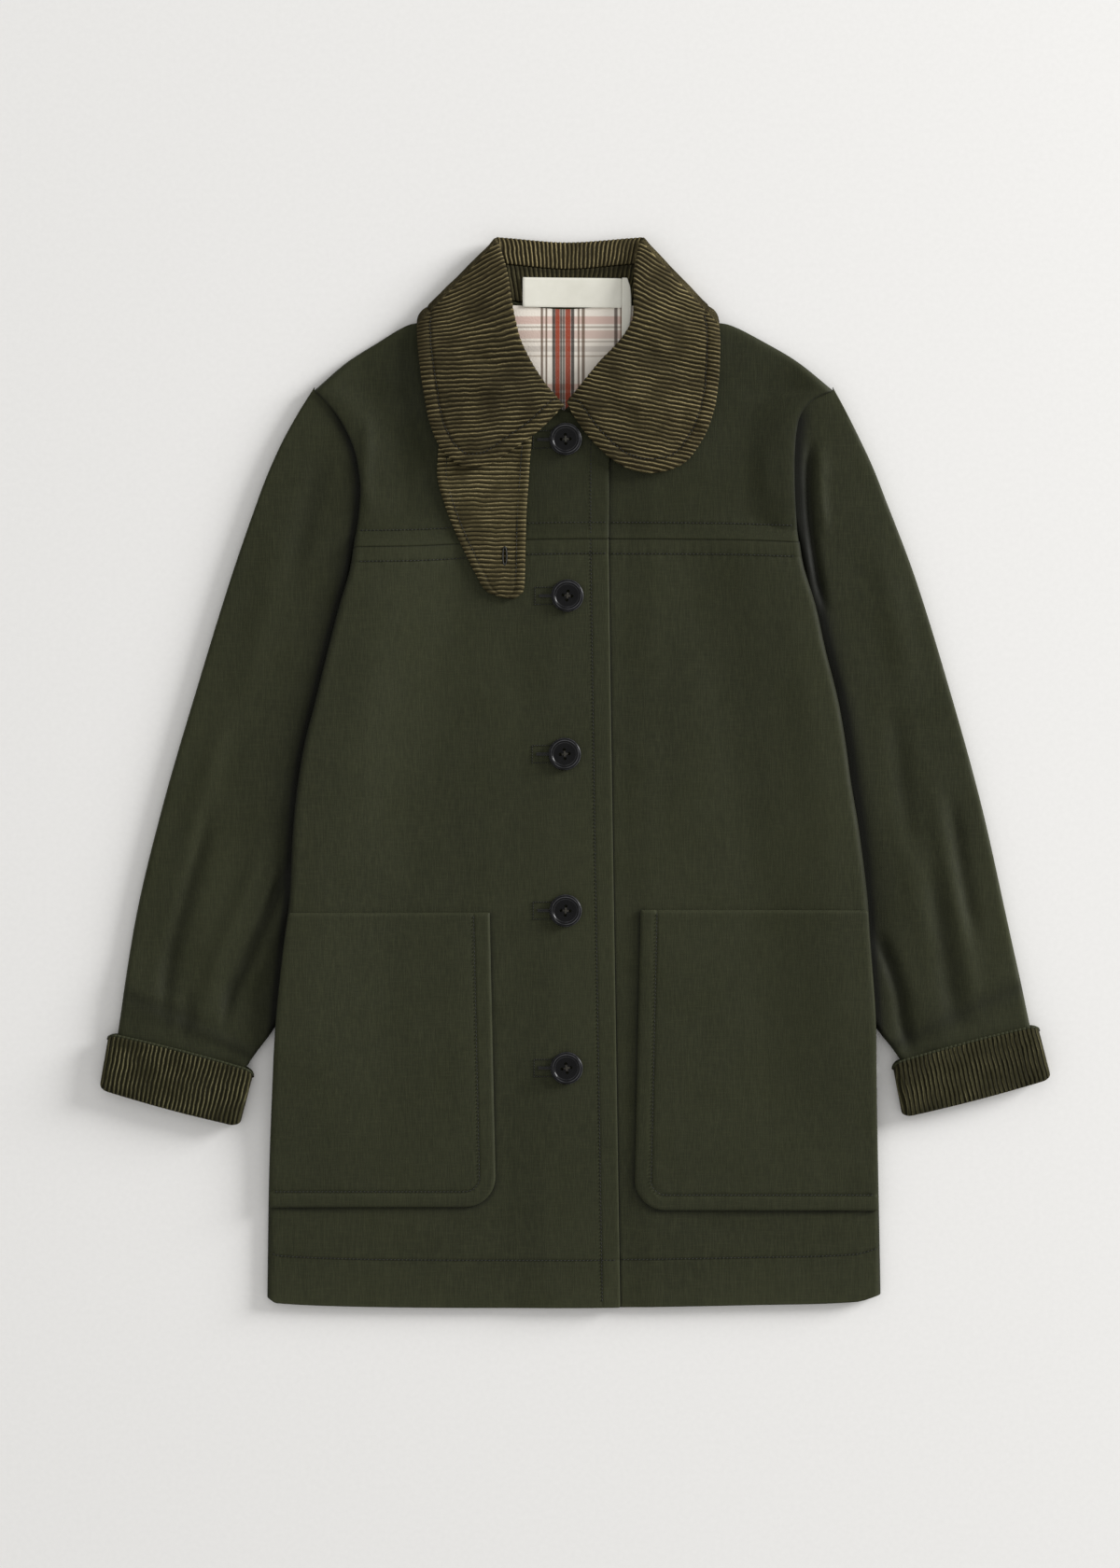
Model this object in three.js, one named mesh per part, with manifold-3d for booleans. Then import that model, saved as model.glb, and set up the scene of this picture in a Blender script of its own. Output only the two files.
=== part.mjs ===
// Waxed cotton jacket laid flat on its back, in millimetres, +Z up.
// X runs to the image's right, Y towards the collar. Right and left in names are the wearer's.
import * as THREE from "three";
import { mergeVertices } from "three/addons/utils/BufferGeometryUtils.js";
import Module from "manifold-3d";

const wasm = await Module();
wasm.setup();

// Driving sizes
const PANEL_WALL = 2.2; // shell and lining of the body together
const SLEEVE_WALL = 2.0;
const CORD_WALL = 2.4; // corduroy, doubled
const STAND_WALL = 1.6;
const STAND_RISE = 0.1; // its upper face over the middle of the collar's wall
const SEAM_GAP = 0.3;
const FOLD_GAP = 0.7; // where front and back meet along a fold
const LAY_GAP = 0.5; // between a piece and the curved panel that it lies on
const BODY_STACK = 7.0; // back, a little air and front
const SLEEVE_STACK = 7.8;
const SLEEVE_INNER_STACK = 6.2; // where the body lies on the sleeve
const SLEEVE_ROUND = 4; // radius of the sleeve's folds
const SLEEVE_TUCK = 14; // how far the sleeve reaches under the body
const ARMPIT_Y = 165;
const CUFF_EXIT_Y = -189; // where the sleeve comes out from under the body
const NECK_LIFT = 3.4; // the collar's fall lies under the back
const LINING_WALL = 1.2;
const LABEL_WALL = 1.0;
const FOLD_RADIUS = 5;
const POCKET_GAP = 0.8;
const POCKET_WALL = 1.8;
const WALE_PITCH = 3.4;
const WALE_HEIGHT = 0.5;
const BUTTON_DIAMETER = 25;
const BUTTON_THICKNESS = 4;
const BUTTON_HOLE_DIAMETER = 2.6;
const BUTTON_HOLE_OFFSET = 3.4;
const UNDER_EDGE_X = -12; // the under front's hidden edge
const BACK_HEM_Y = -403;
const ARMHOLE_TOP_Y = 291;
const SHOULDER_TIP_Y = 293;
const CUFF_STACK = [13.2, 12.4]; // a turned-back cuff's height at its top and bottom
const TAB_WALL = 1.7;
const TAB_LOW_Y = 133;
const TAB_HIGH_Y = 262;
// The lining's y range, then its x range at the low and the high end
const LINING = { lowY: 258, highY: 352, low: [-48, 35], high: [-56, 45] };

// Table rows: the first column is the key, the rest are interpolated smoothly
const BODY_SIDES = [
  // y, left x, right x
  [-410, -237, 235.5],
  [-305, -235.4, 233.5],
  [-239, -232.6, 232],
  [-189, -229.7, 231],
  [-134, -224, 227],
  [-98, -219.3, 224.5],
  [-46, -216.7, 218],
  [-10, -213, 212],
  [20, -208, 208],
  [54, -199.5, 202],
  [92, -190.2, 192.5],
  [126, -181.4, 185],
  [156, -172.8, 176],
  [180, -169.2, 172],
  [198, -166.3, 170.3],
  [218, -165, 169.2],
  [235, -167, 169],
  [248, -170, 169.3],
  [262, -176, 170.5],
  [275, -184, 174],
  [286, -193.5, 184],
  [293, -201, 199],
];
const SHOULDERS = [
  // x, y of the top edge of the back
  [-201, 293],
  [-176.4, 314.3],
  [-154, 328.7],
  [-129, 343.1],
  [-112, 346],
  [-92, 352],
  [-66, 364],
  [-40, 361],
  [-5.8, 358.2],
  [29, 361],
  [54.7, 364],
  [80, 352],
  [102, 346],
  [120.2, 343.1],
  [149, 328.7],
  [172.8, 314.3],
  [199, 293],
];
const HEM = [
  // x, y of the front hem
  [-237, -404.5],
  [-228, -408.5],
  [-145, -411.5],
  [-7, -412],
  [45, -411.5],
  [127, -410],
  [215, -407.5],
  [235.5, -402],
];
const YOKE_SEAM = [
  // x, y of the seam between yoke and front
  [-175, 173],
  [-120, 174],
  [-33, 179],
  [104, 179],
  [180, 176.5],
];
const PLACKET_EDGE = [
  // y, x of the upper front's edge
  [-415, 34],
  [163, 25.2],
  [270, 25.2],
];
const NECK_RIGHT = [
  [25, 179],
  [25.2, 235],
  [25.2, 260],
  [-9.4, 277],
  [-30, 285],
  [-51, 299.9],
  [-67, 325],
  [-71, 346.7],
  [-66, 364],
];
const NECK_LEFT = [
  [-12, 179],
  [-12, 235],
  [-12, 268],
  [-5, 279.7],
  [11.5, 289],
  [33, 307],
  [50.4, 328.7],
  [58.3, 348],
  [54.7, 364],
];
const SLEEVE_OUTER = {
  right: [
    [-203, 291], [-211.7, 278.3], [-223.9, 256.7], [-234, 235.1], [-242.6, 213.5], [-265, 148.7],
    [-291.6, 62.3], [-316.8, -24.1], [-337.7, -110.5], [-351, -197], [-357, -236],
  ],
  left: [
    [201.5, 291], [208.1, 278.3], [218.9, 256.7], [229, 235.1], [237.6, 213.5], [262.1, 148.7],
    [288.7, 62.3], [312.5, -24.1], [331.9, -110.5], [349, -191], [356.5, -228],
  ],
};
const CUFF_ENDS = {
  // top outer, top inner, bottom inner, bottom outer corners of the turned-back cuff
  right: [[-358.6, -202], [-247, -230.8], [-258, -273], [-366, -244]],
  left: [[356, -195.5], [244.1, -225], [252, -266], [366.5, -236]],
};
const COLLAR = [
  // u, neck x, y, z, roll x, y, z, outer x, y, z of the middle of the cloth
  [0.0, -13, 279, 12.6, -9, 280, 14.4, -13, 276, 15.6],
  [0.05, -24, 283, 12.5, -15, 287, 15.2, -27, 262, 15.6],
  [0.1, -38, 290, 12.3, -22, 295, 16, -45, 249, 15.6],
  [0.15, -52, 301, 11.9, -30, 306, 16.4, -65, 236, 15.4],
  [0.2, -62, 314, 11.5, -37, 318, 16.6, -85, 234, 15],
  [0.25, -68, 328, 11.3, -43, 331, 16.6, -101, 246, 14.6],
  [0.3, -71, 342, 11.2, -47, 346, 16.6, -110, 264, 14],
  [0.35, -71, 354, 11, -50, 362, 16.4, -115, 286, 13.4],
  [0.4, -68, 362, 10.4, -53.5, 385, 15, -119, 314, 13],
  [0.43, -63, 364, 9.2, -59, 404, 11.6, -121, 338, 11.4],
  [0.45, -54, 362, 8.2, -60, 409, 8, -119.5, 351, 6.8],
  [0.47, -42, 361, 7.5, -50, 409, 6, -106, 349, 1.6],
  [0.5, -6, 358.2, 7.4, -6, 406, 5.2, -6, 343, 1.4],
  [0.53, 31, 361, 7.5, 42, 409, 6, 96, 349, 1.6],
  [0.55, 43, 362, 8.2, 52, 409, 8, 108.5, 351, 6.8],
  [0.57, 52, 364, 9.2, 50, 404, 11.6, 111, 338, 11.4],
  [0.6, 57, 362, 10.8, 46.5, 385, 15, 111, 322, 13],
  [0.65, 60, 354, 11.4, 46, 362, 16.4, 110, 300, 13],
  [0.7, 60, 342, 11.2, 45, 347, 16.6, 106, 276, 13],
  [0.75, 56, 328, 11.2, 39, 335, 16.6, 97, 254, 13],
  [0.8, 47, 314, 11.2, 30, 324, 16.4, 82, 236, 12.6],
  [0.85, 36, 303, 11.2, 20, 314, 15.8, 58, 229.5, 12.4],
  [0.9, 22, 292, 11.6, 10, 302, 15.4, 34, 236, 13],
  [0.95, 8, 284, 12.4, 1, 291, 15, 12, 255, 14.2],
  [1.0, -4, 279, 12.8, -6, 283, 14.6, -4, 277, 15],
];
const STAND_SEAM = 0.55; // share of the way from neck to roll
const STAND_REACH = [0.412, 0.588]; // the collar's back, which shows inside the neck
const TAB_EDGES = [
  // y, left x, right x
  [133, -54, -46],
  [138, -67, -40.5],
  [150, -75, -39],
  [170, -85, -38.5],
  [185, -92, -38.2],
  [203, -99, -37.5],
  [224, -105, -36],
  [240, -105, -35],
  [262, -103, -33],
];
const BUTTON_CENTRES = [
  [-7.2, 255],
  [-5.8, 135],
  [-7.9, 13.3],
  [-7.2, -107],
  [-6.5, -228],
];
const POCKETS = {
  // inner edge at the top and bottom, top and bottom y, corner radius
  right: { innerTop: -66, innerLow: -61, top: -109, low: -335, corner: 24 },
  left: { innerTop: 51, innerLow: 46, top: -107, low: -337.5, corner: 24 },
};

const COLOURS = {
  waxed: 0x34342a,
  sleeve: 0x313125,
  corduroy: 0x3c3722,
  flannel: 0xe0d4c4,
  label: 0xdfddd1,
  button: 0x232325,
};

// A smooth curve through a table's rows, as the values in its other columns
function sample(table, key) {
  const last = table.length - 1;
  const k = Math.min(Math.max(key, table[0][0]), table[last][0]);
  let i = 0;
  while (i < last - 1 && table[i + 1][0] < k) i += 1;
  const slope = (row, column) => {
    const a = table[Math.max(row - 1, 0)];
    const b = table[Math.min(row + 1, last)];
    return (b[column] - a[column]) / (b[0] - a[0]);
  };
  const [p, q] = [table[i], table[i + 1]];
  const span = q[0] - p[0];
  const t = (k - p[0]) / span;
  return p.slice(1).map((_, n) => {
    const c = n + 1;
    const h00 = 2 * t ** 3 - 3 * t ** 2 + 1;
    const h10 = t ** 3 - 2 * t ** 2 + t;
    const h11 = t ** 3 - t ** 2;
    return h00 * p[c] + h10 * span * slope(i, c) + (1 - h00) * q[c] + h11 * span * slope(i + 1, c);
  });
}

// A curve through points, by its share of their whole length
function route(points) {
  const table = [[0, ...points[0]]];
  points.slice(1).forEach((p, i) => {
    const step = Math.hypot(...p.map((v, n) => v - points[i][n]));
    table.push([table[i][0] + step, ...p]);
  });
  const total = table[table.length - 1][0];
  return (share) => sample(table, share * total);
}

const clamp01 = (v) => Math.min(Math.max(v, 0), 1);
const smooth = (from, to, v) => {
  const t = clamp01((v - from) / (to - from));
  return t * t * (3 - 2 * t);
};
const mix = (a, b, t) => a + (b - a) * t;
const rim = (distance, radius) => Math.sqrt(1 - (1 - clamp01(distance / radius)) ** 2);
const evenly = (count) => Array.from({ length: count + 1 }, (_, i) => i / count);

// How the layers lie: every height is that of a face over the surface that carries the jacket
function sideDistance(x, y) {
  const [left, right] = sample(BODY_SIDES, y);
  return Math.max(Math.min(x - left, right - x), 0);
}
const closedSide = (y) => 1 - smooth(ARMPIT_Y + 5, ARMPIT_Y + 35, y);
const overSleeve = (y) => closedSide(y) * smooth(CUFF_EXIT_Y - 115, CUFF_EXIT_Y - 8, y);
const sideShare = (x, y) => 1 - smooth(SLEEVE_TUCK + 3, SLEEVE_TUCK + 81, sideDistance(x, y));
function backGround(x, y) {
  const side = sideShare(x, y);
  const lift = (SLEEVE_INNER_STACK + LAY_GAP + 0.2) * side * overSleeve(y);
  const neck = NECK_LIFT * smooth(285, 341, y) * (1 - smooth(100, 150, Math.abs(x + 6)));
  return Math.max(lift, neck);
}
function frontGround(x, y) {
  const d = sideDistance(x, y);
  const low = (SLEEVE_INNER_STACK + LAY_GAP + 0.2) * sideShare(x, y) * overSleeve(y);
  const arm = 3.6 * (1 - smooth(6, 40, d)) * smooth(ARMPIT_Y - 30, ARMPIT_Y + 30, y);
  const neck = 2.4 * smooth(205, 265, y) * (1 - smooth(70, 130, Math.abs(x + 6)));
  return Math.max(low, arm, neck);
}
const backTop = (x, y) => backGround(x, y) + PANEL_WALL;
const frontTop = (x, y) => frontGround(x, y) + BODY_STACK;
const upperTop = (x, y) => frontTop(x, y) + 1.3 * smooth(-55, -15, x);
const underTop = (x, y) => frontTop(x, y) - 1.6 * (1 - smooth(34, 62, x));

// Solids from grids of points
function normalsOf(grid, wrap) {
  const rows = grid.length;
  const columns = grid[0].length;
  return grid.map((line, i) =>
    line.map((_, j) => {
      const a = grid[Math.max(i - 1, 0)][j];
      const b = grid[Math.min(i + 1, rows - 1)][j];
      const before = wrap ? (j - 1 + columns) % columns : Math.max(j - 1, 0);
      const after = wrap ? (j + 1) % columns : Math.min(j + 1, columns - 1);
      return b.clone().sub(a).cross(line[after].clone().sub(line[before])).normalize();
    }),
  );
}
function moved(grid, distance, wrap = false) {
  const normals = normalsOf(grid, wrap);
  return grid.map((line, i) => line.map((p, j) => p.clone().addScaledVector(normals[i][j], distance)));
}
function geometryOf(points, faces) {
  const geometry = new THREE.BufferGeometry();
  const flat = points.flatMap((p) => p.toArray());
  geometry.setAttribute("position", new THREE.Float32BufferAttribute(flat, 3));
  geometry.setIndex(faces);
  geometry.computeVertexNormals();
  return geometry;
}
// A wall between a face and the same face moved: the faces point away from each other
function wallBetween(face, back, wrap = false) {
  const rows = face.length;
  const columns = face[0].length;
  const points = [...face.flat(), ...back.flat()];
  const faces = [];
  const at = (i, j, layer) => layer * rows * columns + i * columns + (j % columns);
  const quad = (a, b, c, d) => faces.push(a, b, c, a, c, d);
  const across = wrap ? columns : columns - 1;
  for (let i = 0; i < rows - 1; i += 1) {
    for (let j = 0; j < across; j += 1) {
      quad(at(i, j, 0), at(i + 1, j, 0), at(i + 1, j + 1, 0), at(i, j + 1, 0));
      quad(at(i, j, 1), at(i, j + 1, 1), at(i + 1, j + 1, 1), at(i + 1, j, 1));
    }
  }
  for (let j = 0; j < across; j += 1) {
    quad(at(0, j, 0), at(0, j + 1, 0), at(0, j + 1, 1), at(0, j, 1));
    quad(at(rows - 1, j, 0), at(rows - 1, j, 1), at(rows - 1, j + 1, 1), at(rows - 1, j + 1, 0));
  }
  if (!wrap) {
    for (let i = 0; i < rows - 1; i += 1) {
      quad(at(i, 0, 0), at(i, 0, 1), at(i + 1, 0, 1), at(i + 1, 0, 0));
      const last = columns - 1;
      quad(at(i, last, 0), at(i + 1, last, 0), at(i + 1, last, 1), at(i, last, 1));
    }
  }
  return geometryOf(points, faces);
}
function gridOf(us, vs, point) {
  return us.map((u) => vs.map((v) => new THREE.Vector3(...point(u, v))));
}
// A sheet whose given face is its upper one, or its lower one when the wall is negative
function sheet(us, vs, point, wall, limit = (p) => p.z) {
  const face = gridOf(us, vs, point);
  const other = moved(face, -wall);
  other.forEach((line) => line.forEach((p) => p.setZ(limit(p))));
  return wall > 0 ? wallBetween(face, other) : wallBetween(other, face);
}
function coons(left, right, low, top) {
  const corners = [left(0), right(0), left(1), right(1)];
  return (u, v) =>
    [0, 1].map(
      (n) =>
        mix(left(v)[n], right(v)[n], u) +
        mix(low(u)[n], top(u)[n], v) -
        mix(mix(corners[0][n], corners[1][n], u), mix(corners[2][n], corners[3][n], u), v),
    );
}

const EDGE_STEPS = [0, 0.002, 0.008, 0.021, 0.045, 0.09];
const fromEdge = (count) => [...EDGE_STEPS, ...evenly(count).slice(1).map((t) => mix(0.09, 1, t))];
const toEdge = (count) => fromEdge(count).map((t) => 1 - t).reverse();

// Height of the fold's middle, where front and back meet at the sides and shoulders
const foldHeight = (x, y) => frontGround(x, y) + BODY_STACK / 2;
const shoulderHeight = (x, y) => backGround(x, y) + BODY_STACK / 2 + 0.4;
const shoulderDistance = (x, y) => (y > 280 ? sample(SHOULDERS, x)[0] - y : 99);
// Keeps a wall's inner face on its own side of the fold
function aboveFold(p) {
  let low = p.z;
  if (sideDistance(p.x, p.y) < 8 && closedSide(p.y) > 0.5) low = foldHeight(p.x, p.y) + FOLD_GAP / 2;
  if (shoulderDistance(p.x, p.y) < 6) low = shoulderHeight(p.x, p.y) + FOLD_GAP / 2;
  return Math.max(p.z, low);
}
function belowFold(p) {
  let high = p.z;
  if (sideDistance(p.x, p.y) < 8 && closedSide(p.y) > 0.5) high = foldHeight(p.x, p.y) - FOLD_GAP / 2;
  if (shoulderDistance(p.x, p.y) < 6) high = shoulderHeight(p.x, p.y) - FOLD_GAP / 2;
  return Math.min(p.z, high);
}
function frontHeight(top, x, y, side) {
  const d = Math.abs(x - sample(BODY_SIDES, y)[side]);
  const edge = mix(top - 0.9, foldHeight(x, y) + FOLD_GAP / 2, closedSide(y));
  return mix(edge, top, rim(d, FOLD_RADIUS));
}

// The yoke seam's x, from the image's left to its right
const seamAt = (side, u) => (side === "right" ? mix(-170, 25.2, u) : mix(UNDER_EDGE_X, 171.9, u));
function frontPanel(side) {
  const isRight = side === "right";
  return (u, v) => {
    const hemX = isRight ? mix(-237, 34, u) : mix(UNDER_EDGE_X, 235.5, u);
    const seamX = seamAt(side, u);
    const y = mix(sample(HEM, hemX)[0], sample(YOKE_SEAM, seamX)[0] - 2 * SEAM_GAP, v);
    const [left, right] = sample(BODY_SIDES, y);
    const x = isRight ? mix(left, sample(PLACKET_EDGE, y)[0], u) : mix(UNDER_EDGE_X, right, u);
    const top = isRight ? upperTop(x, y) : underTop(x, y);
    return [x, y, frontHeight(top, x, y, isRight ? 0 : 1)];
  };
}

function yokePlan(side) {
  const isRight = side === "right";
  const armhole = (v) => {
    const y = mix(sample(YOKE_SEAM, seamAt(side, isRight ? 0 : 1))[0], SHOULDER_TIP_Y, v);
    return [sample(BODY_SIDES, y)[isRight ? 0 : 1], y];
  };
  const neck = route(isRight ? NECK_RIGHT : NECK_LEFT);
  const tip = isRight ? -201 : 199;
  const nape = isRight ? -66 : 54.7;
  const shoulder = (t) => {
    const x = mix(tip, nape, t);
    return [x, sample(SHOULDERS, x)[0]];
  };
  const seam = (u) => [seamAt(side, u), sample(YOKE_SEAM, seamAt(side, u))[0]];
  if (isRight) return coons(armhole, neck, seam, shoulder);
  return coons(neck, armhole, seam, (u) => shoulder(1 - u));
}
function yoke(side) {
  const isRight = side === "right";
  const plan = yokePlan(side);
  return (u, v) => {
    const [x, y] = plan(u, v);
    const top = isRight ? upperTop(x, y) : underTop(x, y);
    const arm = plan(isRight ? 0 : 1, v);
    const ridge = plan(u, 1);
    const armDistance = Math.hypot(x - arm[0], y - arm[1]);
    const ridgeDistance = Math.hypot(x - ridge[0], y - ridge[1]);
    const armEdge = mix(top - 0.9, foldHeight(x, y) + FOLD_GAP / 2, closedSide(y));
    const height = mix(armEdge, top, rim(armDistance, FOLD_RADIUS));
    const middle = shoulderHeight(x, y) + FOLD_GAP / 2;
    return [x, y, mix(Math.min(middle, height), height, rim(ridgeDistance, FOLD_RADIUS))];
  };
}

// The back's lower face; above the armpit its edge keeps clear of the sleeve
const backInset = (y) => 8.5 * smooth(ARMPIT_Y - 12, ARMPIT_Y + 22, y);
function back(u, v) {
  const sideY = mix(BACK_HEM_Y, SHOULDER_TIP_Y - 1, v);
  const [left, right] = sample(BODY_SIDES, sideY);
  const inset = backInset(sideY) * (1 - smooth(270, 292, sideY) * 0.6);
  const x = mix(left + inset, right - inset, u);
  const topX = mix(-201, 199, u);
  const hemX = mix(-237, 235.5, u);
  const y = mix(sample(HEM, hemX)[0] + 2, sample(SHOULDERS, topX)[0] - 1, v);
  const ground = backGround(x, y);
  const d = Math.min(x - left, right - x);
  const fold = frontGround(x, y) + BODY_STACK / 2 - FOLD_GAP / 2;
  const edge = mix(ground, fold, closedSide(y));
  const height = mix(edge, ground, rim(d, FOLD_RADIUS));
  const ridge = (1 - v) * 690;
  return [x, y, mix(shoulderHeight(x, y) - FOLD_GAP / 2 - 0.6, height, rim(ridge, FOLD_RADIUS))];
}

// A flattened tube: t runs across from the outer fold to the inner one
const TUBE_STEPS = [0, 0.006, 0.022, 0.05, 0.12, 0.3, 0.5, 0.7, 0.88, 0.95, 0.978, 0.994, 1];
const armTuck = (y) =>
  mix(4, 0.4, 1 - smooth(ARMPIT_Y + 8, ARMPIT_Y + 50, y)) * smooth(ARMPIT_Y - 2, ARMPIT_Y, y) +
  SLEEVE_TUCK * (1 - smooth(ARMPIT_Y - 75, ARMPIT_Y, y));
const CUFF_CLEAR = 7.5;
function sleevePlan(side) {
  const isRight = side === "right";
  const inward = isRight ? 1 : -1;
  const outer = route(SLEEVE_OUTER[side]);
  const cuff = CUFF_ENDS[side];
  const insideTop = [cuff[1][0] - inward * CUFF_CLEAR, cuff[1][1]];
  const insideLow = [cuff[2][0] - inward * CUFF_CLEAR, cuff[2][1] + 8];
  const tucked = [ARMPIT_Y, 130, 95, 50, 0, -50, -100, -150].map((y) => [
    sample(BODY_SIDES, y)[isRight ? 0 : 1] + inward * armTuck(y),
    y,
  ]);
  const inner = route([...tucked, [mix(tucked[7][0], insideTop[0], 0.35), -190], insideTop, insideLow]);
  const armhole = (t) => {
    const y = mix(ARMHOLE_TOP_Y, ARMPIT_Y, t);
    const side = sample(BODY_SIDES, y)[isRight ? 0 : 1] + inward * armTuck(y) * smooth(0.02, 0.15, t);
    return [mix(outer(0)[0], side, smooth(0, 0.02, t)), y];
  };
  const end = (t) => outer(1).map((v, n) => mix(v, inner(1)[n], t));
  return coons(armhole, end, outer, inner);
}
const sleeveHeight = (s, t) =>
  mix(SLEEVE_STACK, SLEEVE_INNER_STACK, smooth(0.62, 0.86, t)) - 0.8 * smooth(0.85, 0.95, s);
const cuffLift = (s) => (CORD_WALL + LAY_GAP) * smooth(0.8, 0.89, s);
function flatTube(plan, height, lift, radius, sides, wall, stations) {
  const ring = (s, inset) => {
    const outer = plan(s, 0);
    const inner = plan(s, 1);
    const width = Math.hypot(inner[0] - outer[0], inner[1] - outer[1]);
    const point = (t, up) => {
      const share = mix(inset / width, 1 - inset / width, t);
      const [x, y] = plan(s, share);
      const full = height(s, share);
      const edge = rim(Math.min(t, 1 - t) * width, radius);
      const half = (full / 2 - inset) * edge;
      return new THREE.Vector3(x, y, lift(s) + full / 2 + (up ? half : -half));
    };
    const over = sides.map((t) => point(t, true));
    const under = sides.slice(1, -1).reverse().map((t) => point(t, false));
    return [...over, ...under];
  };
  const face = stations.map((s) => ring(s, 0));
  const inside = stations.map((s) => ring(s, wall));
  return wallBetween(face, inside, true);
}

// A cuff is a plain flattened tube round the sleeve's end, with wales raised on its upper face
function cuffGeometry(side) {
  const [topOuter, topInner, lowInner, lowOuter] = CUFF_ENDS[side];
  const full = (s) => mix(...CUFF_STACK, s);
  const corner = (s, t) =>
    [0, 1].map((n) => mix(mix(topOuter[n], topInner[n], t), mix(lowOuter[n], lowInner[n], t), s));
  const width = Math.hypot(topInner[0] - topOuter[0], topInner[1] - topOuter[1]);
  const halves = Math.round(width / WALE_PITCH) * 2;
  const waleSteps = evenly(halves);
  const lowSteps = [0.04, 0.15, 0.5, 0.85, 0.96];
  const ring = (s, inset) => {
    const point = (t, up, wale) => {
      const share = mix(inset / width, 1 - inset / width, t);
      const [x, y] = corner(s, share);
      const edge = rim(Math.min(t, 1 - t) * width, full(s) / 2);
      const half = (full(s) / 2 - inset) * edge - (wale ? WALE_HEIGHT * edge : 0);
      return new THREE.Vector3(x, y, full(s) / 2 + (up ? half : -half));
    };
    const over = waleSteps.map((t, i) => point(t, true, inset === 0 && i % 2 === 1));
    const under = [...lowSteps].reverse().map((t) => point(t, false, false));
    return [...over, ...under];
  };
  const stations = [0, 1];
  return wallBetween(stations.map((s) => ring(s, 0)), stations.map((s) => ring(s, CORD_WALL)), true);
}

// The collar's section from neck to roll to outer edge
function collarPoint(u, v) {
  const row = sample(COLLAR, u);
  const [neck, roll, outer] = [0, 3, 6].map((n) => row.slice(n, n + 3));
  const between = (a, b, t, z) => [mix(a[0], b[0], t), mix(a[1], b[1], t), mix(a[2], b[2], t) + z];
  const near = (a, b) => Math.min(0.42, 9 / Math.max(Math.hypot(a[0] - b[0], a[1] - b[1]), 1));
  const behind = outer[2] < roll[2] - 2 && roll[2] < 9 ? -1 : 1;
  const fallEnd = behind * 1.6 * smooth(0, 0.08, Math.min(u, 1 - u));
  const section = [
    [0, ...neck],
    [0.3, ...between(roll, neck, near(roll, neck) * 1.6, -fallEnd * 1.1)],
    [0.45, ...roll],
    [0.6, ...between(roll, outer, near(roll, outer), fallEnd)],
    [0.8, ...between(roll, outer, 0.6, fallEnd * 0.5)],
    [1, ...outer],
  ];
  return sample(section, v);
}
const STAND_END = 0.45 * STAND_SEAM;
const collarRows = [STAND_END + 0.05, 0.32, 0.38, 0.42, 0.45, 0.48, 0.52, 0.6, 0.72, 0.86, 1];
const standRows = [0.02, 0.1, STAND_END - 0.03];
const collarColumns = [
  ...evenly(9).map((t) => mix(0.004, 0.38, t)),
  0.405, 0.425, 0.44, 0.45, 0.46, 0.475, 0.5, 0.525, 0.54, 0.55, 0.56, 0.575, 0.595,
  ...evenly(9).map((t) => mix(0.62, 0.996, t)),
];
function collarWall(rows, columns, wall) {
  const middle = gridOf(columns, rows, collarPoint);
  return facing(wallBetween(moved(middle, wall / 2), moved(middle, -wall / 2)));
}

function pocketPoint(side) {
  const isRight = side === "right";
  const size = POCKETS[side];
  return (u, v) => {
    const y = mix(size.low, size.top, v);
    const inner = mix(size.innerLow, size.innerTop, v);
    const rise = size.corner - (y - size.low);
    const round = rise > 0 ? size.corner - Math.sqrt(size.corner ** 2 - rise ** 2) : 0;
    const edge = sample(BODY_SIDES, y)[isRight ? 0 : 1];
    const x = isRight ? mix(edge + 2.4, inner - round, u) : mix(inner + round, edge - 2.4, u);
    const top = isRight ? upperTop(x, y) : underTop(x, y);
    return [x, y, frontHeight(top, x, y, isRight ? 0 : 1)];
  };
}
function pocketGeometry(side) {
  const isRight = side === "right";
  const point = pocketPoint(side);
  const across = evenly(8);
  const near = [0, 0.012, 0.035, 0.08];
  const far = near.map((t) => 1 - t).reverse();
  const us = isRight ? [...near, ...across.slice(1)] : [...across.slice(0, -1), ...far];
  const vs = [0, 0.008, 0.03, 0.06, 0.106, 0.3, 0.5, 0.75, 1];
  const base = gridOf(us, vs, point);
  return wallBetween(moved(base, POCKET_GAP + POCKET_WALL), moved(base, POCKET_GAP));
}

function tabGeometry() {
  const ribs = Math.round((TAB_HIGH_Y - TAB_LOW_Y) / WALE_PITCH);
  const vs = evenly(ribs * 2);
  const us = [0, 0.04, 0.96, 1];
  const base = gridOf(us, vs, (u, v) => {
    const y = mix(TAB_LOW_Y, TAB_HIGH_Y, v);
    const [left, right] = sample(TAB_EDGES, y);
    const x = mix(left, right, u);
    return [x, y, upperTop(x, y) + LAY_GAP];
  });
  const raised = base.map((line, i) =>
    line.map((p, j) => {
      const rib = i > 0 && i < us.length - 1 && j % 2 === 0 ? WALE_HEIGHT : 0;
      return p.clone().setZ(p.z + TAB_WALL + rib);
    }),
  );
  return wallBetween(raised, base);
}

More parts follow.
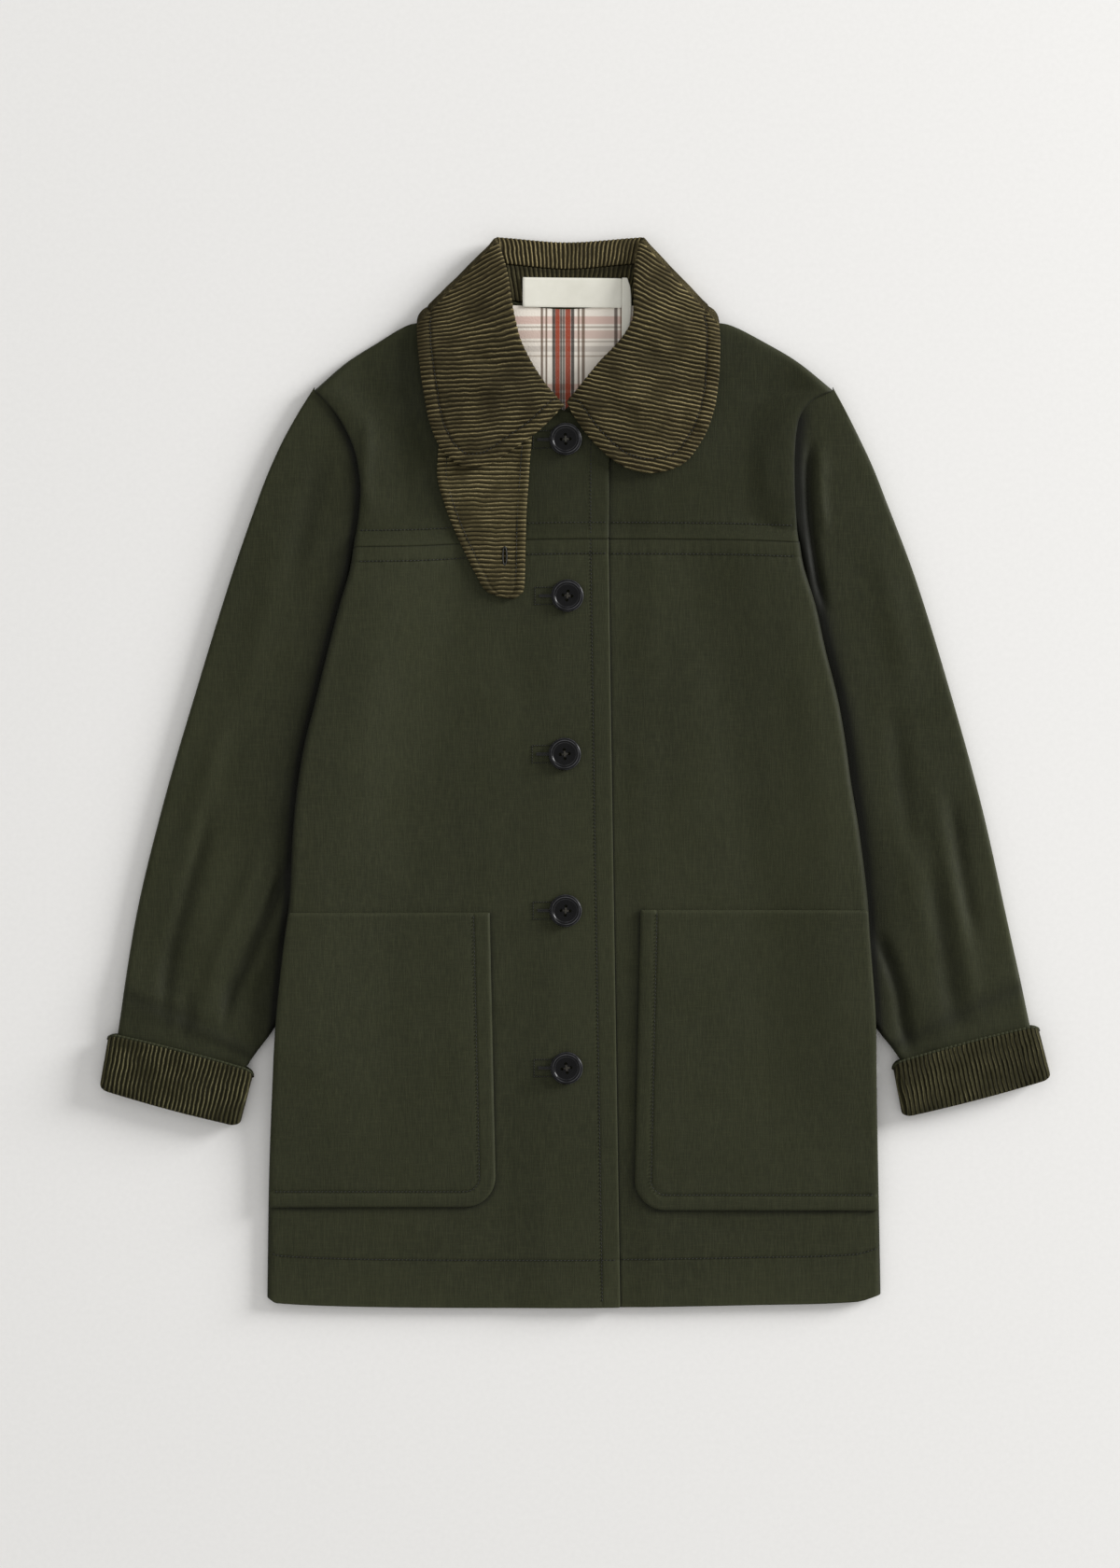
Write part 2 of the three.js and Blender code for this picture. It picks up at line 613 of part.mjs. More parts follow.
// Lining and label inside the neck
function liningPoint(u, v) {
  const x = mix(mix(LINING.low[0], LINING.high[0], v), mix(LINING.low[1], LINING.high[1], v), u);
  const y = mix(LINING.lowY, LINING.highY, v);
  return [x, y, backTop(x, y) + LAY_GAP + LINING_WALL];
}
const LABEL = { left: -40, right: 35.5, low: 356.6, high: 378.6 };
const standFace = (x, y) => collarSurface(x, y) + STAND_RISE + LAY_GAP;
function collarSurface(x, y) {
  const u = mix(0.47, 0.53, (x + 48) / 85);
  const foot = collarPoint(clamp01(u), 0);
  const roll = collarPoint(clamp01(u), 0.3);
  const t = clamp01((y - foot[1]) / (roll[1] - foot[1]));
  return mix(foot[2], roll[2], t) + 0.9 * t;
}

// The label's end is turned down over the neck seam onto the lining
const LABEL_END = [
  // y, left x, right x
  [327, 36.3, 38],
  [348, 36.3, 42.5],
  [370, 36.3, 42.5],
  [379, 36.3, 40],
];
function labelEndPoint(u, v) {
  const y = mix(LABEL_END[0][0], LABEL_END[3][0], v);
  const [left, right] = sample(LABEL_END, y);
  const x = mix(left, right, u);
  const onLining = backTop(x, y) + 2 * LAY_GAP + LINING_WALL;
  return [x, y, mix(onLining, standFace(x, y) + 0.2, smooth(345, 360, y)) + LABEL_WALL];
}

// A four-hole button with a rim and a dished middle
function buttonGeometry() {
  const r = BUTTON_DIAMETER / 2;
  const h = BUTTON_THICKNESS;
  const profile = [
    [0, 0], [r * 0.8, 0], [r, h * 0.45], [r * 0.97, h * 0.85], [r * 0.88, h],
    [r * 0.74, h * 0.86], [r * 0.62, h * 0.62], [0, h * 0.5],
  ].map(([x, y]) => new THREE.Vector2(x, y));
  const body = new THREE.LatheGeometry(profile, 16).rotateX(Math.PI / 2);
  let solid = solidFrom(body);
  for (let i = 0; i < 4; i += 1) {
    const angle = (i * Math.PI) / 2;
    const hole = new THREE.CylinderGeometry(BUTTON_HOLE_DIAMETER / 2, BUTTON_HOLE_DIAMETER / 2, h * 2, 6);
    const reach = [Math.cos(angle), Math.sin(angle)].map((c) => c * BUTTON_HOLE_OFFSET);
    hole.rotateX(Math.PI / 2).translate(...reach, 1);
    solid = solid.subtract(solidFrom(hole));
  }
  return fromSolid(solid);
}
function solidFrom(geometry) {
  const bare = geometry.clone();
  bare.deleteAttribute("normal");
  bare.deleteAttribute("uv");
  const merged = mergeVertices(bare, 1e-4);
  return new wasm.Manifold(
    new wasm.Mesh({
      numProp: 3,
      vertProperties: merged.attributes.position.array,
      triVerts: new Uint32Array(merged.index.array),
    }),
  );
}
function fromSolid(solid) {
  const mesh = solid.getMesh();
  const geometry = new THREE.BufferGeometry();
  geometry.setAttribute("position", new THREE.BufferAttribute(mesh.vertProperties, 3));
  geometry.setIndex(new THREE.BufferAttribute(mesh.triVerts, 1));
  geometry.computeVertexNormals();
  return geometry;
}

const jacket = new THREE.Group();
function add(name, geometry, colour, roughness = 0.8) {
  const material = new THREE.MeshStandardMaterial({ color: colour, roughness, metalness: 0 });
  const mesh = new THREE.Mesh(geometry, material);
  mesh.name = name;
  jacket.add(mesh);
  return mesh;
}

const bothEdges = [...fromEdge(6).map((t) => t / 2), ...toEdge(6).map((t) => 0.5 + t / 2).slice(1)];
const backRows = [
  ...evenly(11).map((t) => t * 0.77),
  ...evenly(9).map((t) => mix(0.79, 0.985, t)),
  0.993, 0.998, 1,
];
add("back_panel", sheet(bothEdges, backRows, back, -PANEL_WALL, belowFold), COLOURS.waxed);
const frontRows = evenly(14);
add("front_right", sheet(fromEdge(10), frontRows, frontPanel("right"), PANEL_WALL, aboveFold), COLOURS.waxed);
add("front_left", sheet(toEdge(10), frontRows, frontPanel("left"), PANEL_WALL, aboveFold), COLOURS.waxed);
const yokeRows = [...evenly(9).map((t) => t * 0.96), 0.982, 0.994, 1];
add("yoke_right", sheet(fromEdge(10), yokeRows, yoke("right"), PANEL_WALL, aboveFold), COLOURS.waxed);
add("yoke_left", sheet(toEdge(10), yokeRows, yoke("left"), PANEL_WALL, aboveFold), COLOURS.waxed);

const sleeveStations = [...evenly(11).map((t) => t * 0.8), 0.85, 0.9, 1];
for (const side of ["right", "left"]) {
  const geometry = flatTube(
    sleevePlan(side), sleeveHeight, cuffLift, SLEEVE_ROUND, TUBE_STEPS, SLEEVE_WALL, sleeveStations,
  );
  add("sleeve_" + side, facing(geometry), COLOURS.sleeve);
  add("cuff_" + side, facing(cuffGeometry(side)), COLOURS.corduroy);
  add("pocket_" + side, pocketGeometry(side), COLOURS.waxed);
}
// Turns a geometry's faces outwards when its rings run the other way
function facing(geometry) {
  const index = geometry.index.array;
  const p = geometry.attributes.position;
  const [a, b, c] = [new THREE.Vector3(), new THREE.Vector3(), new THREE.Vector3()];
  let volume = 0;
  for (let i = 0; i < index.length; i += 3) {
    a.fromBufferAttribute(p, index[i]);
    b.fromBufferAttribute(p, index[i + 1]);
    c.fromBufferAttribute(p, index[i + 2]);
    volume += a.dot(b.cross(c));
  }
  if (volume < 0) {
    for (let i = 0; i < index.length; i += 3) [index[i], index[i + 1]] = [index[i + 1], index[i]];
  }
  return geometry;
}

add("collar", collarWall(collarRows, collarColumns, CORD_WALL), COLOURS.corduroy);
const standColumns = evenly(20).map((t) => mix(...STAND_REACH, t));
const standFoot = gridOf(standColumns, standRows, collarPoint);
const raisedBy = (grid, rise) => grid.map((line) => line.map((p) => p.clone().setZ(p.z + rise)));
const standSolid = wallBetween(raisedBy(standFoot, STAND_RISE), raisedBy(standFoot, STAND_RISE - STAND_WALL));
add("collar_stand", facing(standSolid), COLOURS.corduroy);
add("throat_tab", tabGeometry(), COLOURS.corduroy);
add("lining_neck", sheet(evenly(5), evenly(6), liningPoint, LINING_WALL), COLOURS.flannel);
add(
  "neck_label",
  sheet(
    evenly(6),
    evenly(3),
    (u, v) => {
      const x = mix(LABEL.left, LABEL.right, u);
      const y = mix(LABEL.low + (1 - u) * 0.8, LABEL.high + (1 - u) * 0.8, v);
      return [x, y, standFace(x, y) + LABEL_WALL];
    },
    LABEL_WALL,
  ),
  COLOURS.label,
);
add("label_end", sheet(evenly(2), evenly(8), labelEndPoint, LABEL_WALL), COLOURS.label);
const button = buttonGeometry();
BUTTON_CENTRES.forEach(([x, y], i) => {
  const mesh = add("button_" + (i + 1), button, COLOURS.button, 0.25);
  const reach = [-12, 0, 12].flatMap((dx) => [-12, 0, 12].map((dy) => upperTop(x + dx, y + dy)));
  mesh.position.set(x, y, Math.max(...reach) + SEAM_GAP);
});

export default jacket;
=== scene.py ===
"""Waxed cotton jacket laid flat: cloth shells, corduroy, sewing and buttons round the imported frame."""
import math

import bmesh
import bpy
import numpy as np
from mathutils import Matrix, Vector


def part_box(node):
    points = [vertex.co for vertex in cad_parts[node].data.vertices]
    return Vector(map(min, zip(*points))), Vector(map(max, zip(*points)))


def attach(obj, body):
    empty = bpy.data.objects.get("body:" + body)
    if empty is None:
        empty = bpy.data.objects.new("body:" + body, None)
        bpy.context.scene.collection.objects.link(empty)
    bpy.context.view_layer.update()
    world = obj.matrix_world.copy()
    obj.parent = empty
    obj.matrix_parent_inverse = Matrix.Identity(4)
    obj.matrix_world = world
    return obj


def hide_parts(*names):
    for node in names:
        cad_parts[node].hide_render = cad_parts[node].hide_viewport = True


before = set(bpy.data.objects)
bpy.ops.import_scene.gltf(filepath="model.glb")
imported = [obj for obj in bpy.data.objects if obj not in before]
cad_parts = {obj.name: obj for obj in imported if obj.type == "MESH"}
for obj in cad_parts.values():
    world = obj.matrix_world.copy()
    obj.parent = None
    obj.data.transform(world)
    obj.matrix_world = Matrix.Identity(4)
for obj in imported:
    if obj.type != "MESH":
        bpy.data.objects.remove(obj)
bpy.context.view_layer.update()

MM = 0.001
BODY = "root"

# Sizes in millimetres, those of the solids; heights are over the floor and y runs from hem to neck
PANEL_WALL = 2.2
SLEEVE_WALL = 2.0
CORD_WALL = 2.4
STAND_WALL = 1.6
STAND_RISE = 0.1
FOLD_GAP = 0.3
LAY_GAP = 0.5
BODY_STACK = 7.0
SLEEVE_STACK = 7.8
SLEEVE_INNER_STACK = 6.2
SLEEVE_TUCK = 14
ARMPIT_Y = 165
SHOULDER_Y = 293
SLEEVE_TOP_Y = 296
CUFF_EXIT_Y = -189
NECK_X = -6
NECK_LIFT = 3.4
FRONT_NECK_LIFT = 2.4
ARM_LIFT = 3.6
OVERLAP_LIFT = 1.3
UNDERLAP_DROP = 1.6
LINING_WALL = 1.2
LABEL_WALL = 0.8
FOLD_RADIUS = 5
POCKET_GAP = 0.5
POCKET_WALL = 2.0
POCKET_INSET = 2.4
POCKET_LENGTH = 226
CUFF_CLEAR = 7.5
CUFF_FULL = (13.2, 12.4)
CUFF_DEPTH = 42
# Share of the sleeve's length at the cuff's edge, and share of the cuff's width at its overlap
CUFF_MOUTH = 0.885
CUFF_LAP = {"right": 0.84, "left": 0.16}

# Corduroy and sewing
WALE_PITCH = 3.4
CUFF_STEPS = 8
TAB_STEPS = 8
STAND_STEPS = 6
STITCH_PITCH = 2.9
STITCH_LENGTH = 2.1
THREAD_RADIUS = 0.36
# Along a stitch: share of its length from the middle, share of its radius, height
STITCH_PROFILE = [
    (-0.5, 0.25, -0.28), (-0.3, 0.9, 0.0), (0.0, 1.0, 0.06), (0.3, 0.9, 0.0), (0.5, 0.25, -0.28),
]
PLACKET_STITCH = 13
HEM_STITCH = 36
YOKE_STITCH = 12
POCKET_STITCH = 12
COLLAR_STITCH = 10
TAB_STITCH = 6.5
TAB_HOLE = (-54, 165.5)
TAB_HOLE_HALF = 7

BODY_SIDES = [
    # y, left x, right x
    (-410, -237, 235.5), (-305, -235.4, 233.5), (-239, -232.6, 232), (-189, -229.7, 231),
    (-134, -224, 227), (-98, -219.3, 224.5), (-46, -216.7, 218), (-10, -213, 212),
    (20, -208, 208), (54, -199.5, 202), (92, -190.2, 192.5), (126, -181.4, 185),
    (156, -172.8, 176), (180, -169.2, 172), (198, -166.3, 170.3), (218, -165, 169.2),
    (235, -167, 169), (248, -170, 169.3), (262, -176, 170.5), (275, -184, 174),
    (286, -193.5, 184), (293, -201, 199),
]
SHOULDERS = [
    # x, y of the back's top edge
    (-201, 293), (-176.4, 314.3), (-154, 328.7), (-129, 343.1), (-112, 346), (-92, 352),
    (-66, 364), (-40, 361), (-5.8, 358.2), (29, 361), (54.7, 364), (80, 352), (102, 346),
    (120.2, 343.1), (149, 328.7), (172.8, 314.3), (199, 293),
]
HEM = [
    # x, y of the front hem
    (-237, -404.5), (-228, -408.5), (-145, -411.5), (-7, -412), (45, -411.5), (127, -410),
    (215, -407.5), (235.5, -402),
]
YOKE_SEAM = [
    # x, y of the seam between yoke and front
    (-175, 173), (-120, 174), (-33, 179), (104, 179), (180, 176.5),
]
PLACKET_EDGE = [
    # y, x of the upper front's edge
    (-415, 34), (163, 25.2), (270, 25.2),
]
NECK_RIGHT = [
    (25, 179), (25.2, 235), (25.2, 260), (-9.4, 277), (-30, 285), (-51, 299.9), (-67, 325),
    (-71, 346.7), (-66, 364),
]
NECK_LEFT = [
    (-12, 179), (-12, 235), (-12, 268), (-5, 279.7), (11.5, 289), (33, 307), (50.4, 328.7),
    (58.3, 348), (54.7, 364),
]
SLEEVE_OUTER = {
    "right": [
        (-200.5, 296), (-211.7, 278.3), (-223.9, 256.7), (-234, 235.1), (-242.6, 213.5),
        (-265, 148.7), (-291.6, 62.3), (-316.8, -24.1), (-337.7, -110.5), (-351, -197), (-357, -236),
    ],
    "left": [
        (198.5, 296), (208.1, 278.3), (218.9, 256.7), (229, 235.1), (237.6, 213.5),
        (262.1, 148.7), (288.7, 62.3), (312.5, -24.1), (331.9, -110.5), (349, -191), (356.5, -228),
    ],
}
CUFF_ENDS = {
    # top outer, top inner, bottom inner, bottom outer corners
    "right": [(-358.6, -202), (-247, -230.8), (-258, -273), (-366, -244)],
    "left": [(356, -195.5), (244.1, -225), (252, -266), (366.5, -236)],
}
COLLAR = [
    # u, neck x, y, z, roll x, y, z, outer x, y, z of the middle of the cloth
    (0.0, -13, 279, 12.6, -9, 280, 14.4, -13, 276, 15.6),
    (0.05, -24, 283, 12.5, -15, 287, 15.2, -27, 262, 15.6),
    (0.1, -38, 290, 12.3, -22, 295, 16, -45, 249, 15.6),
    (0.15, -52, 301, 11.9, -30, 306, 16.4, -65, 236, 15.4),
    (0.2, -62, 314, 11.5, -37, 318, 16.6, -85, 234, 15),
    (0.25, -68, 328, 11.3, -43, 331, 16.6, -101, 246, 14.6),
    (0.3, -71, 342, 11.2, -47, 346, 16.6, -110, 264, 14),
    (0.35, -71, 354, 11, -50, 362, 16.4, -115, 286, 13.4),
    (0.4, -68, 362, 10.4, -53.5, 385, 15, -119, 314, 13),
    (0.43, -63, 364, 9.2, -59, 404, 11.6, -121, 338, 11.4),
    (0.45, -54, 362, 8.2, -60, 409, 8, -119.5, 351, 6.8),
    (0.47, -42, 361, 7.5, -50, 409, 6, -106, 349, 1.6),
    (0.5, -6, 358.2, 7.4, -6, 406, 5.2, -6, 343, 1.4),
    (0.53, 31, 361, 7.5, 42, 409, 6, 96, 349, 1.6),
    (0.55, 43, 362, 8.2, 52, 409, 8, 108.5, 351, 6.8),
    (0.57, 52, 364, 9.2, 50, 404, 11.6, 111, 338, 11.4),
    (0.6, 57, 362, 10.8, 46.5, 385, 15, 111, 322, 13),
    (0.65, 60, 354, 11.4, 46, 362, 16.4, 110, 300, 13),
    (0.7, 60, 342, 11.2, 45, 347, 16.6, 106, 276, 13),
    (0.75, 56, 328, 11.2, 39, 335, 16.6, 97, 254, 13),
    (0.8, 47, 314, 11.2, 30, 324, 16.4, 82, 236, 12.6),
    (0.85, 36, 303, 11.2, 20, 314, 15.8, 58, 229.5, 12.4),
    (0.9, 22, 292, 11.6, 10, 302, 15.4, 34, 236, 13),
    (0.95, 8, 284, 12.4, 1, 291, 15, 12, 255, 14.2),
    (1.0, -4, 279, 12.8, -6, 283, 14.6, -4, 277, 15),
]
# Shares from neck to outer edge at the roll and at the end of the part modelled as a stand
ROLL_AT = 0.45
STAND_END = ROLL_AT * 0.55
COLLAR_KEYS = (0, 0.3, ROLL_AT, 0.6, 0.8, 1)
# Shares along the neck between which collar and visible stand run
COLLAR_ENDS = (0.004, 0.996)
STAND_ENDS = (0.36, 0.64)
TAB_EDGES = [
    # y, left x, right x
    (133, -54, -46), (138, -67, -40.5), (150, -75, -39), (170, -85, -38.5), (185, -92, -38.2),
    (203, -99, -37.5), (224, -105, -36), (240, -105, -35), (262, -103, -33),
]
LABEL_END = [
    # y, left x, right x
    (327, 36.3, 38), (348, 36.3, 42.5), (370, 36.3, 42.5), (379, 36.3, 40),
]
# x, y and turn in degrees
BUTTONS = [(-7.2, 255, 3), (-5.8, 135, -8), (-7.9, 13.3, 5), (-7.2, -107, -4), (-6.5, -228, 10)]
BUTTON_RADIUS = 12.5
BUTTON_HEIGHT = 4.0
BUTTON_PROFILE = [
    # shares of radius and height, from the foot over the rim to the dished middle
    (0.8, 0), (0.9, 0.1), (0.97, 0.28), (1.0, 0.5), (0.995, 0.68), (0.97, 0.83), (0.93, 0.93),
    (0.88, 0.985), (0.84, 1.0), (0.80, 0.985), (0.765, 0.93), (0.74, 0.83), (0.715, 0.77),
    (0.69, 0.755), (0.66, 0.75), (0.6, 0.70), (0.45, 0.60), (0.25, 0.545), (0.1, 0.53),
]
BUTTON_SEGMENTS = 72
BUTTON_HOLES = 4
HOLE_RADIUS = 1.25
HOLE_REACH = 3.4
# A buttonhole's box: how far left of the button's middle it starts and ends, and half its width
HOLE_BOX = (25.0, 8, 6.6)
POCKETS = {
    "right": {"inner_top": -66, "inner_low": -61, "top": -109, "low": -335, "corner": 24},
    "left": {"inner_top": 51, "inner_low": 46, "top": -107, "low": -337.5, "corner": 24},
}
FRONTS = {
    # x at the ends of hem, yoke seam and shoulder; stitch rows: start x, end x, steps; cuts: size, area
    "right": {
        "edge": 0, "inward": 1, "hem": (-237, 34), "seam": (-170, 25.2), "shoulder": (-201, -66),
        "hem_row": (-233, 31, 200), "seam_row": (-166, 24, 160), "yoke_row": (-165, 24, 160),
        "front": ((263, 586), 0.139), "yoke": ((228, 192), 0.0295), "pocket": ((176, 227), 0.039),
    },
    "left": {
        "edge": 1, "inward": -1, "hem": (-12, 235.5), "seam": (-12, 171.9), "shoulder": (199, 54.7),
        "hem_row": (36, 232, 150), "seam_row": (28, 168, 120), "yoke_row": (28, 167, 120),
        "front": ((240, 586), 0.126), "yoke": ((212, 188), 0.0285), "pocket": ((186, 231), 0.0418),
    },
}
# What the other pieces are cut from: the box round what shows in mm, and the area in square metres
CUTS = {
    "back_panel": ((475, 776), 0.318),
    "sleeve": ((272, 556), 0.106),
    "collar": ((560, 95), 0.041),
    "collar_stand": ((150, 30), 0.0037),
    "throat_tab": ((73, 129), 0.0071),
    "lining_neck": ((101, 100), 0.0092),
    "neck_label": ((76, 22), None),
    "label_end": ((10, 52), 0.00029),
}
# Main creases: points x, y along each, height (a trough is negative), half width, share faded at each end
CREASES = {
    "front": [
        ([(-150, 160), (-158, 60), (-172, -80)], 0.9, 16, 0.4),
        ([(-95, 165), (-100, 40), (-112, -100)], -0.7, 20, 0.4),
        ([(90, 168), (96, 30), (104, -100)], 0.7, 20, 0.4),
        ([(150, 150), (162, 40), (178, -90)], -0.8, 15, 0.4),
        ([(60, 120), (64, 0), (62, -100)], -0.5, 13, 0.4),
        ([(-50, 120), (-58, 0), (-56, -90)], 0.5, 14, 0.4),
        ([(-165, 281), (-160, 262), (-162, 225), (-158, 190)], 1.7, 6, 0.3),
        ([(-170, 300), (-140, 290), (-118, 296)], -0.8, 7, 0.4),
        ([(150, 262), (146, 230), (150, 196)], 0.8, 7, 0.4),
        ([(165, 306), (140, 292), (120, 300)], -0.7, 8, 0.4),
        ([(-120, -345), (-60, -352), (-10, -348)], -0.4, 9, 0.4),
        ([(70, -348), (130, -354), (190, -346)], -0.4, 9, 0.4),
    ],
    "right": [
        ([(-190, 262), (-205, 200), (-222, 130)], -1.4, 9, 0.4),
        ([(-226, 190), (-238, 120), (-262, 30)], 1.2, 12, 0.4),
        ([(-216, -60), (-238, -112), (-256, -152), (-265, -171), (-270, -205)], -3.7, 5, 0.25),
        ([(-212, -85), (-231, -125), (-247, -165)], 2.0, 7, 0.3),
        ([(-300, -160), (-298, -186), (-304, -212)], -1.5, 6, 0.4),
        ([(-270, -30), (-284, -90), (-298, -150)], 1.2, 14, 0.4),
        ([(-279, -17), (-292, -73), (-312, -148), (-316, -205)], -2.4, 6, 0.25),
        ([(-262, 60), (-286, -20), (-304, -90)], 1.6, 9, 0.35),
        ([(-236, -40), (-252, -90), (-276, -150), (-288, -205)], 1.5, 7, 0.3),
    ],
    "collar": [
        ([(-22, 302), (-50, 292), (-88, 300)], 1.5, 6, 0.35),
        ([(-34, 318), (-60, 312), (-84, 322)], -1.5, 5, 0.35),
        ([(-60, 372), (-88, 348), (-112, 322)], -1.2, 7, 0.35),
        ([(-30, 282), (-52, 262), (-74, 252)], -1.2, 5, 0.35),
        ([(18, 300), (52, 282), (92, 284)], 1.4, 7, 0.35),
        ([(42, 332), (72, 312), (104, 306)], -1.4, 6, 0.35),
        ([(55, 372), (82, 352), (106, 330)], -1.0, 7, 0.35),
    ],
    "left": [
        ([(183, 262), (180, 232), (181.5, 190), (187, 150), (194, 118)], -3.6, 3.4, 0.2),
        ([(190, 255), (189, 215), (193, 175)], 1.7, 4.5, 0.3),
        ([(228, 200), (246, 120), (262, 40)], 1.4, 12, 0.4),
        ([(231, -118), (249, -168), (254, -200), (260, -222)], -3.4, 5, 0.25),
        ([(272, -61), (281, -113), (293, -193), (296, -211)], -2.2, 8, 0.3),
        ([(252, -20), (262, -90), (276, -150)], 1.4, 12, 0.4),
        ([(288, -10), (298, -78), (310, -140)], -2.0, 6, 0.3),
        ([(244, 60), (252, -10), (262, -80)], -1.6, 8, 0.35),
        ([(270, 20), (284, -60), (302, -150), (312, -205)], 1.5, 8, 0.3),
    ],
}


# Curves and small maths, on arrays
def hermite(t, span, a, b, slope_a, slope_b):
    """A smooth step from a to b with a slope at each end."""
    h00 = 2 * t ** 3 - 3 * t ** 2 + 1
    h10 = t ** 3 - 2 * t ** 2 + t
    h11 = t ** 3 - t ** 2
    return h00 * a + h10 * span * slope_a + (1 - h00) * b + h11 * span * slope_b


def sample(table, key):
    """A smooth curve through a table's rows at key, as an array of the values in its other columns."""
    rows = np.asarray(table, float)
    keys = rows[:, 0]
    values = rows[:, 1:]
    last = len(rows) - 1
    k = np.clip(np.asarray(key, float), keys[0], keys[-1])
    i = np.clip(np.searchsorted(keys, k, side="left") - 1, 0, last - 1)
    before = np.maximum(np.arange(last + 1) - 1, 0)
    after = np.minimum(np.arange(last + 1) + 1, last)
    slopes = (values[after] - values[before]) / (keys[after] - keys[before])[:, None]
    span = keys[i + 1] - keys[i]
    t = ((k - keys[i]) / span)[..., None]
    return hermite(t, span[..., None], values[i], values[i + 1], slopes[i], slopes[i + 1])


def column(table, key, n=0):
    return sample(table, key)[..., n]


def unit(vectors):
    return vectors / np.maximum(np.linalg.norm(vectors, axis=-1, keepdims=True), 1e-9)


def reach_along(points):
    """The length of a line up to each of its points."""
    return np.concatenate([[0], np.cumsum(np.linalg.norm(np.diff(points, axis=0), axis=1))])


def route(points):
    """A curve through points by its share of their length."""
    points = np.asarray(points, float)
    table = np.column_stack([reach_along(points), points])
    return lambda share: sample(table, np.asarray(share) * table[-1, 0])


def smooth(start, end, v):
    t = np.clip((v - start) / (end - start), 0, 1)
    return t * t * (3 - 2 * t)


def mix(a, b, t):
    return a + (b - a) * t


def rim(distance, radius):
    return np.sqrt(1 - (1 - np.clip(distance / radius, 0, 1)) ** 2)


def bell(distance, width):
    """1 at no distance, falling smoothly to near 0 at twice the width."""
    return np.exp(-(distance / width) ** 2)


def crease_height(kind, x, y):
    """The height that the creases of one kind add at each point."""
    total = np.zeros(np.broadcast(x, y).shape)
    for points, height, width, fade in CREASES[kind]:
        total += height * ridge(points, x, y, width, fade)
    return total


def line_distance(line, x, y):
    """The distance from each point to a line of points, and the share of the line at the nearest place."""
    best = np.full(np.broadcast(x, y).shape, 1e9)
    along = np.zeros_like(best)
    for n in range(len(line) - 1):
        a, b = line[n], line[n + 1]
        d = b - a
        t = np.clip(((x - a[0]) * d[0] + (y - a[1]) * d[1]) / (d @ d), 0, 1)
        gap = np.hypot(x - a[0] - t * d[0], y - a[1] - t * d[1])
        near = gap < best
        best = np.where(near, gap, best)
        along = np.where(near, (n + t) / (len(line) - 1), along)
    return best, along


def ridge(points, x, y, width, fade):
    """1 on a line through points, falling to 0 with the distance from it and towards its ends."""
    gap, along = line_distance(route(points)(np.linspace(0, 1, 24)), x, y)
    return bell(gap, width) * smooth(0, fade, along) * smooth(0, fade, 1 - along)


# Heights of the layers over the floor
def side_distance(x, y):
    sides = sample(BODY_SIDES, y)
    return np.maximum(np.minimum(x - sides[..., 0], sides[..., 1] - x), 0)


def side_share(x, y):
    return 1 - smooth(SLEEVE_TUCK + 3, SLEEVE_TUCK + 81, side_distance(x, y))


def closed_side(y):
    return 1 - smooth(ARMPIT_Y + 5, ARMPIT_Y + 35, y)


def over_sleeve(y):
    return closed_side(y) * smooth(CUFF_EXIT_Y - 115, CUFF_EXIT_Y - 8, y)


def over_arm(x, y):
    """The lift of the body's side where the sleeve lies under it."""
    return (SLEEVE_INNER_STACK + LAY_GAP + 0.2) * side_share(x, y) * over_sleeve(y)


def back_ground(x, y):
    neck = NECK_LIFT * smooth(285, 341, y) * (1 - smooth(100, 150, np.abs(x - NECK_X)))
    return np.maximum(over_arm(x, y), neck)


def front_ground(x, y):
    arm = ARM_LIFT * (1 - smooth(6, 40, side_distance(x, y))) * smooth(ARMPIT_Y - 30, ARMPIT_Y + 30, y)
    neck = FRONT_NECK_LIFT * smooth(205, 265, y) * (1 - smooth(70, 130, np.abs(x - NECK_X)))
    return np.maximum(np.maximum(over_arm(x, y), arm), neck)


def back_top(x, y):
    return back_ground(x, y) + PANEL_WALL


def front_top(x, y):
    return front_ground(x, y) + BODY_STACK + crease_height("front", x, y)


def upper_top(x, y):
    return front_top(x, y) + OVERLAP_LIFT * smooth(-55, -15, x)


def under_top(x, y):
    return front_top(x, y) - UNDERLAP_DROP * (1 - smooth(34, 62, x))


def outer_top(side, x, y):
    """The outer face of the right front, on top, or of the left front under it."""
    return upper_top(x, y) if side == "right" else under_top(x, y)


def fold_height(x, y):
    return front_ground(x, y) + BODY_STACK / 2


def shoulder_height(x, y):
    return back_ground(x, y) + BODY_STACK / 2 + 0.4


# Meshes from grids of points
BORDER_ANGLES = (45, 90, 135)
BORDER_ROUND = 0.8


def normals_of(grid):
    across = np.gradient(grid, axis=1)
    along = np.gradient(grid, axis=0)
    return unit(np.cross(along, across))


def new_object(name, points, faces, material, attributes=None, smooth_angle=50):
    mesh = bpy.data.meshes.new(name)
    mesh.from_pydata((np.asarray(points) * MM).tolist(), [], [[int(n) for n in face] for face in faces])
    for key, values in (attributes or {}).items():
        layer = mesh.attributes.new(key, "FLOAT", "POINT")
        layer.data.foreach_set("value", np.asarray(values, np.float32))
    mesh.validate()
    mesh.shade_smooth()
    mesh.set_sharp_from_angle(angle=math.radians(smooth_angle))
    obj = bpy.data.objects.new(name, mesh)
    bpy.context.scene.collection.objects.link(obj)
    mesh.materials.append(material)
    return obj


def grid_of(rows, columns):
    return np.meshgrid(rows, columns, indexing="ij")


def quads(index):
    return np.stack([index[:-1, :-1], index[1:, :-1], index[1:, 1:], index[:-1, 1:]], -1).reshape(-1, 4)


def border(index, depth=0):
    """The indices all round a grid, on its border or one row inside it."""
    return np.concatenate([index[:, depth], index[-1 - depth, 1:], index[-2::-1, -1 - depth],
                           index[depth, -2:0:-1]])


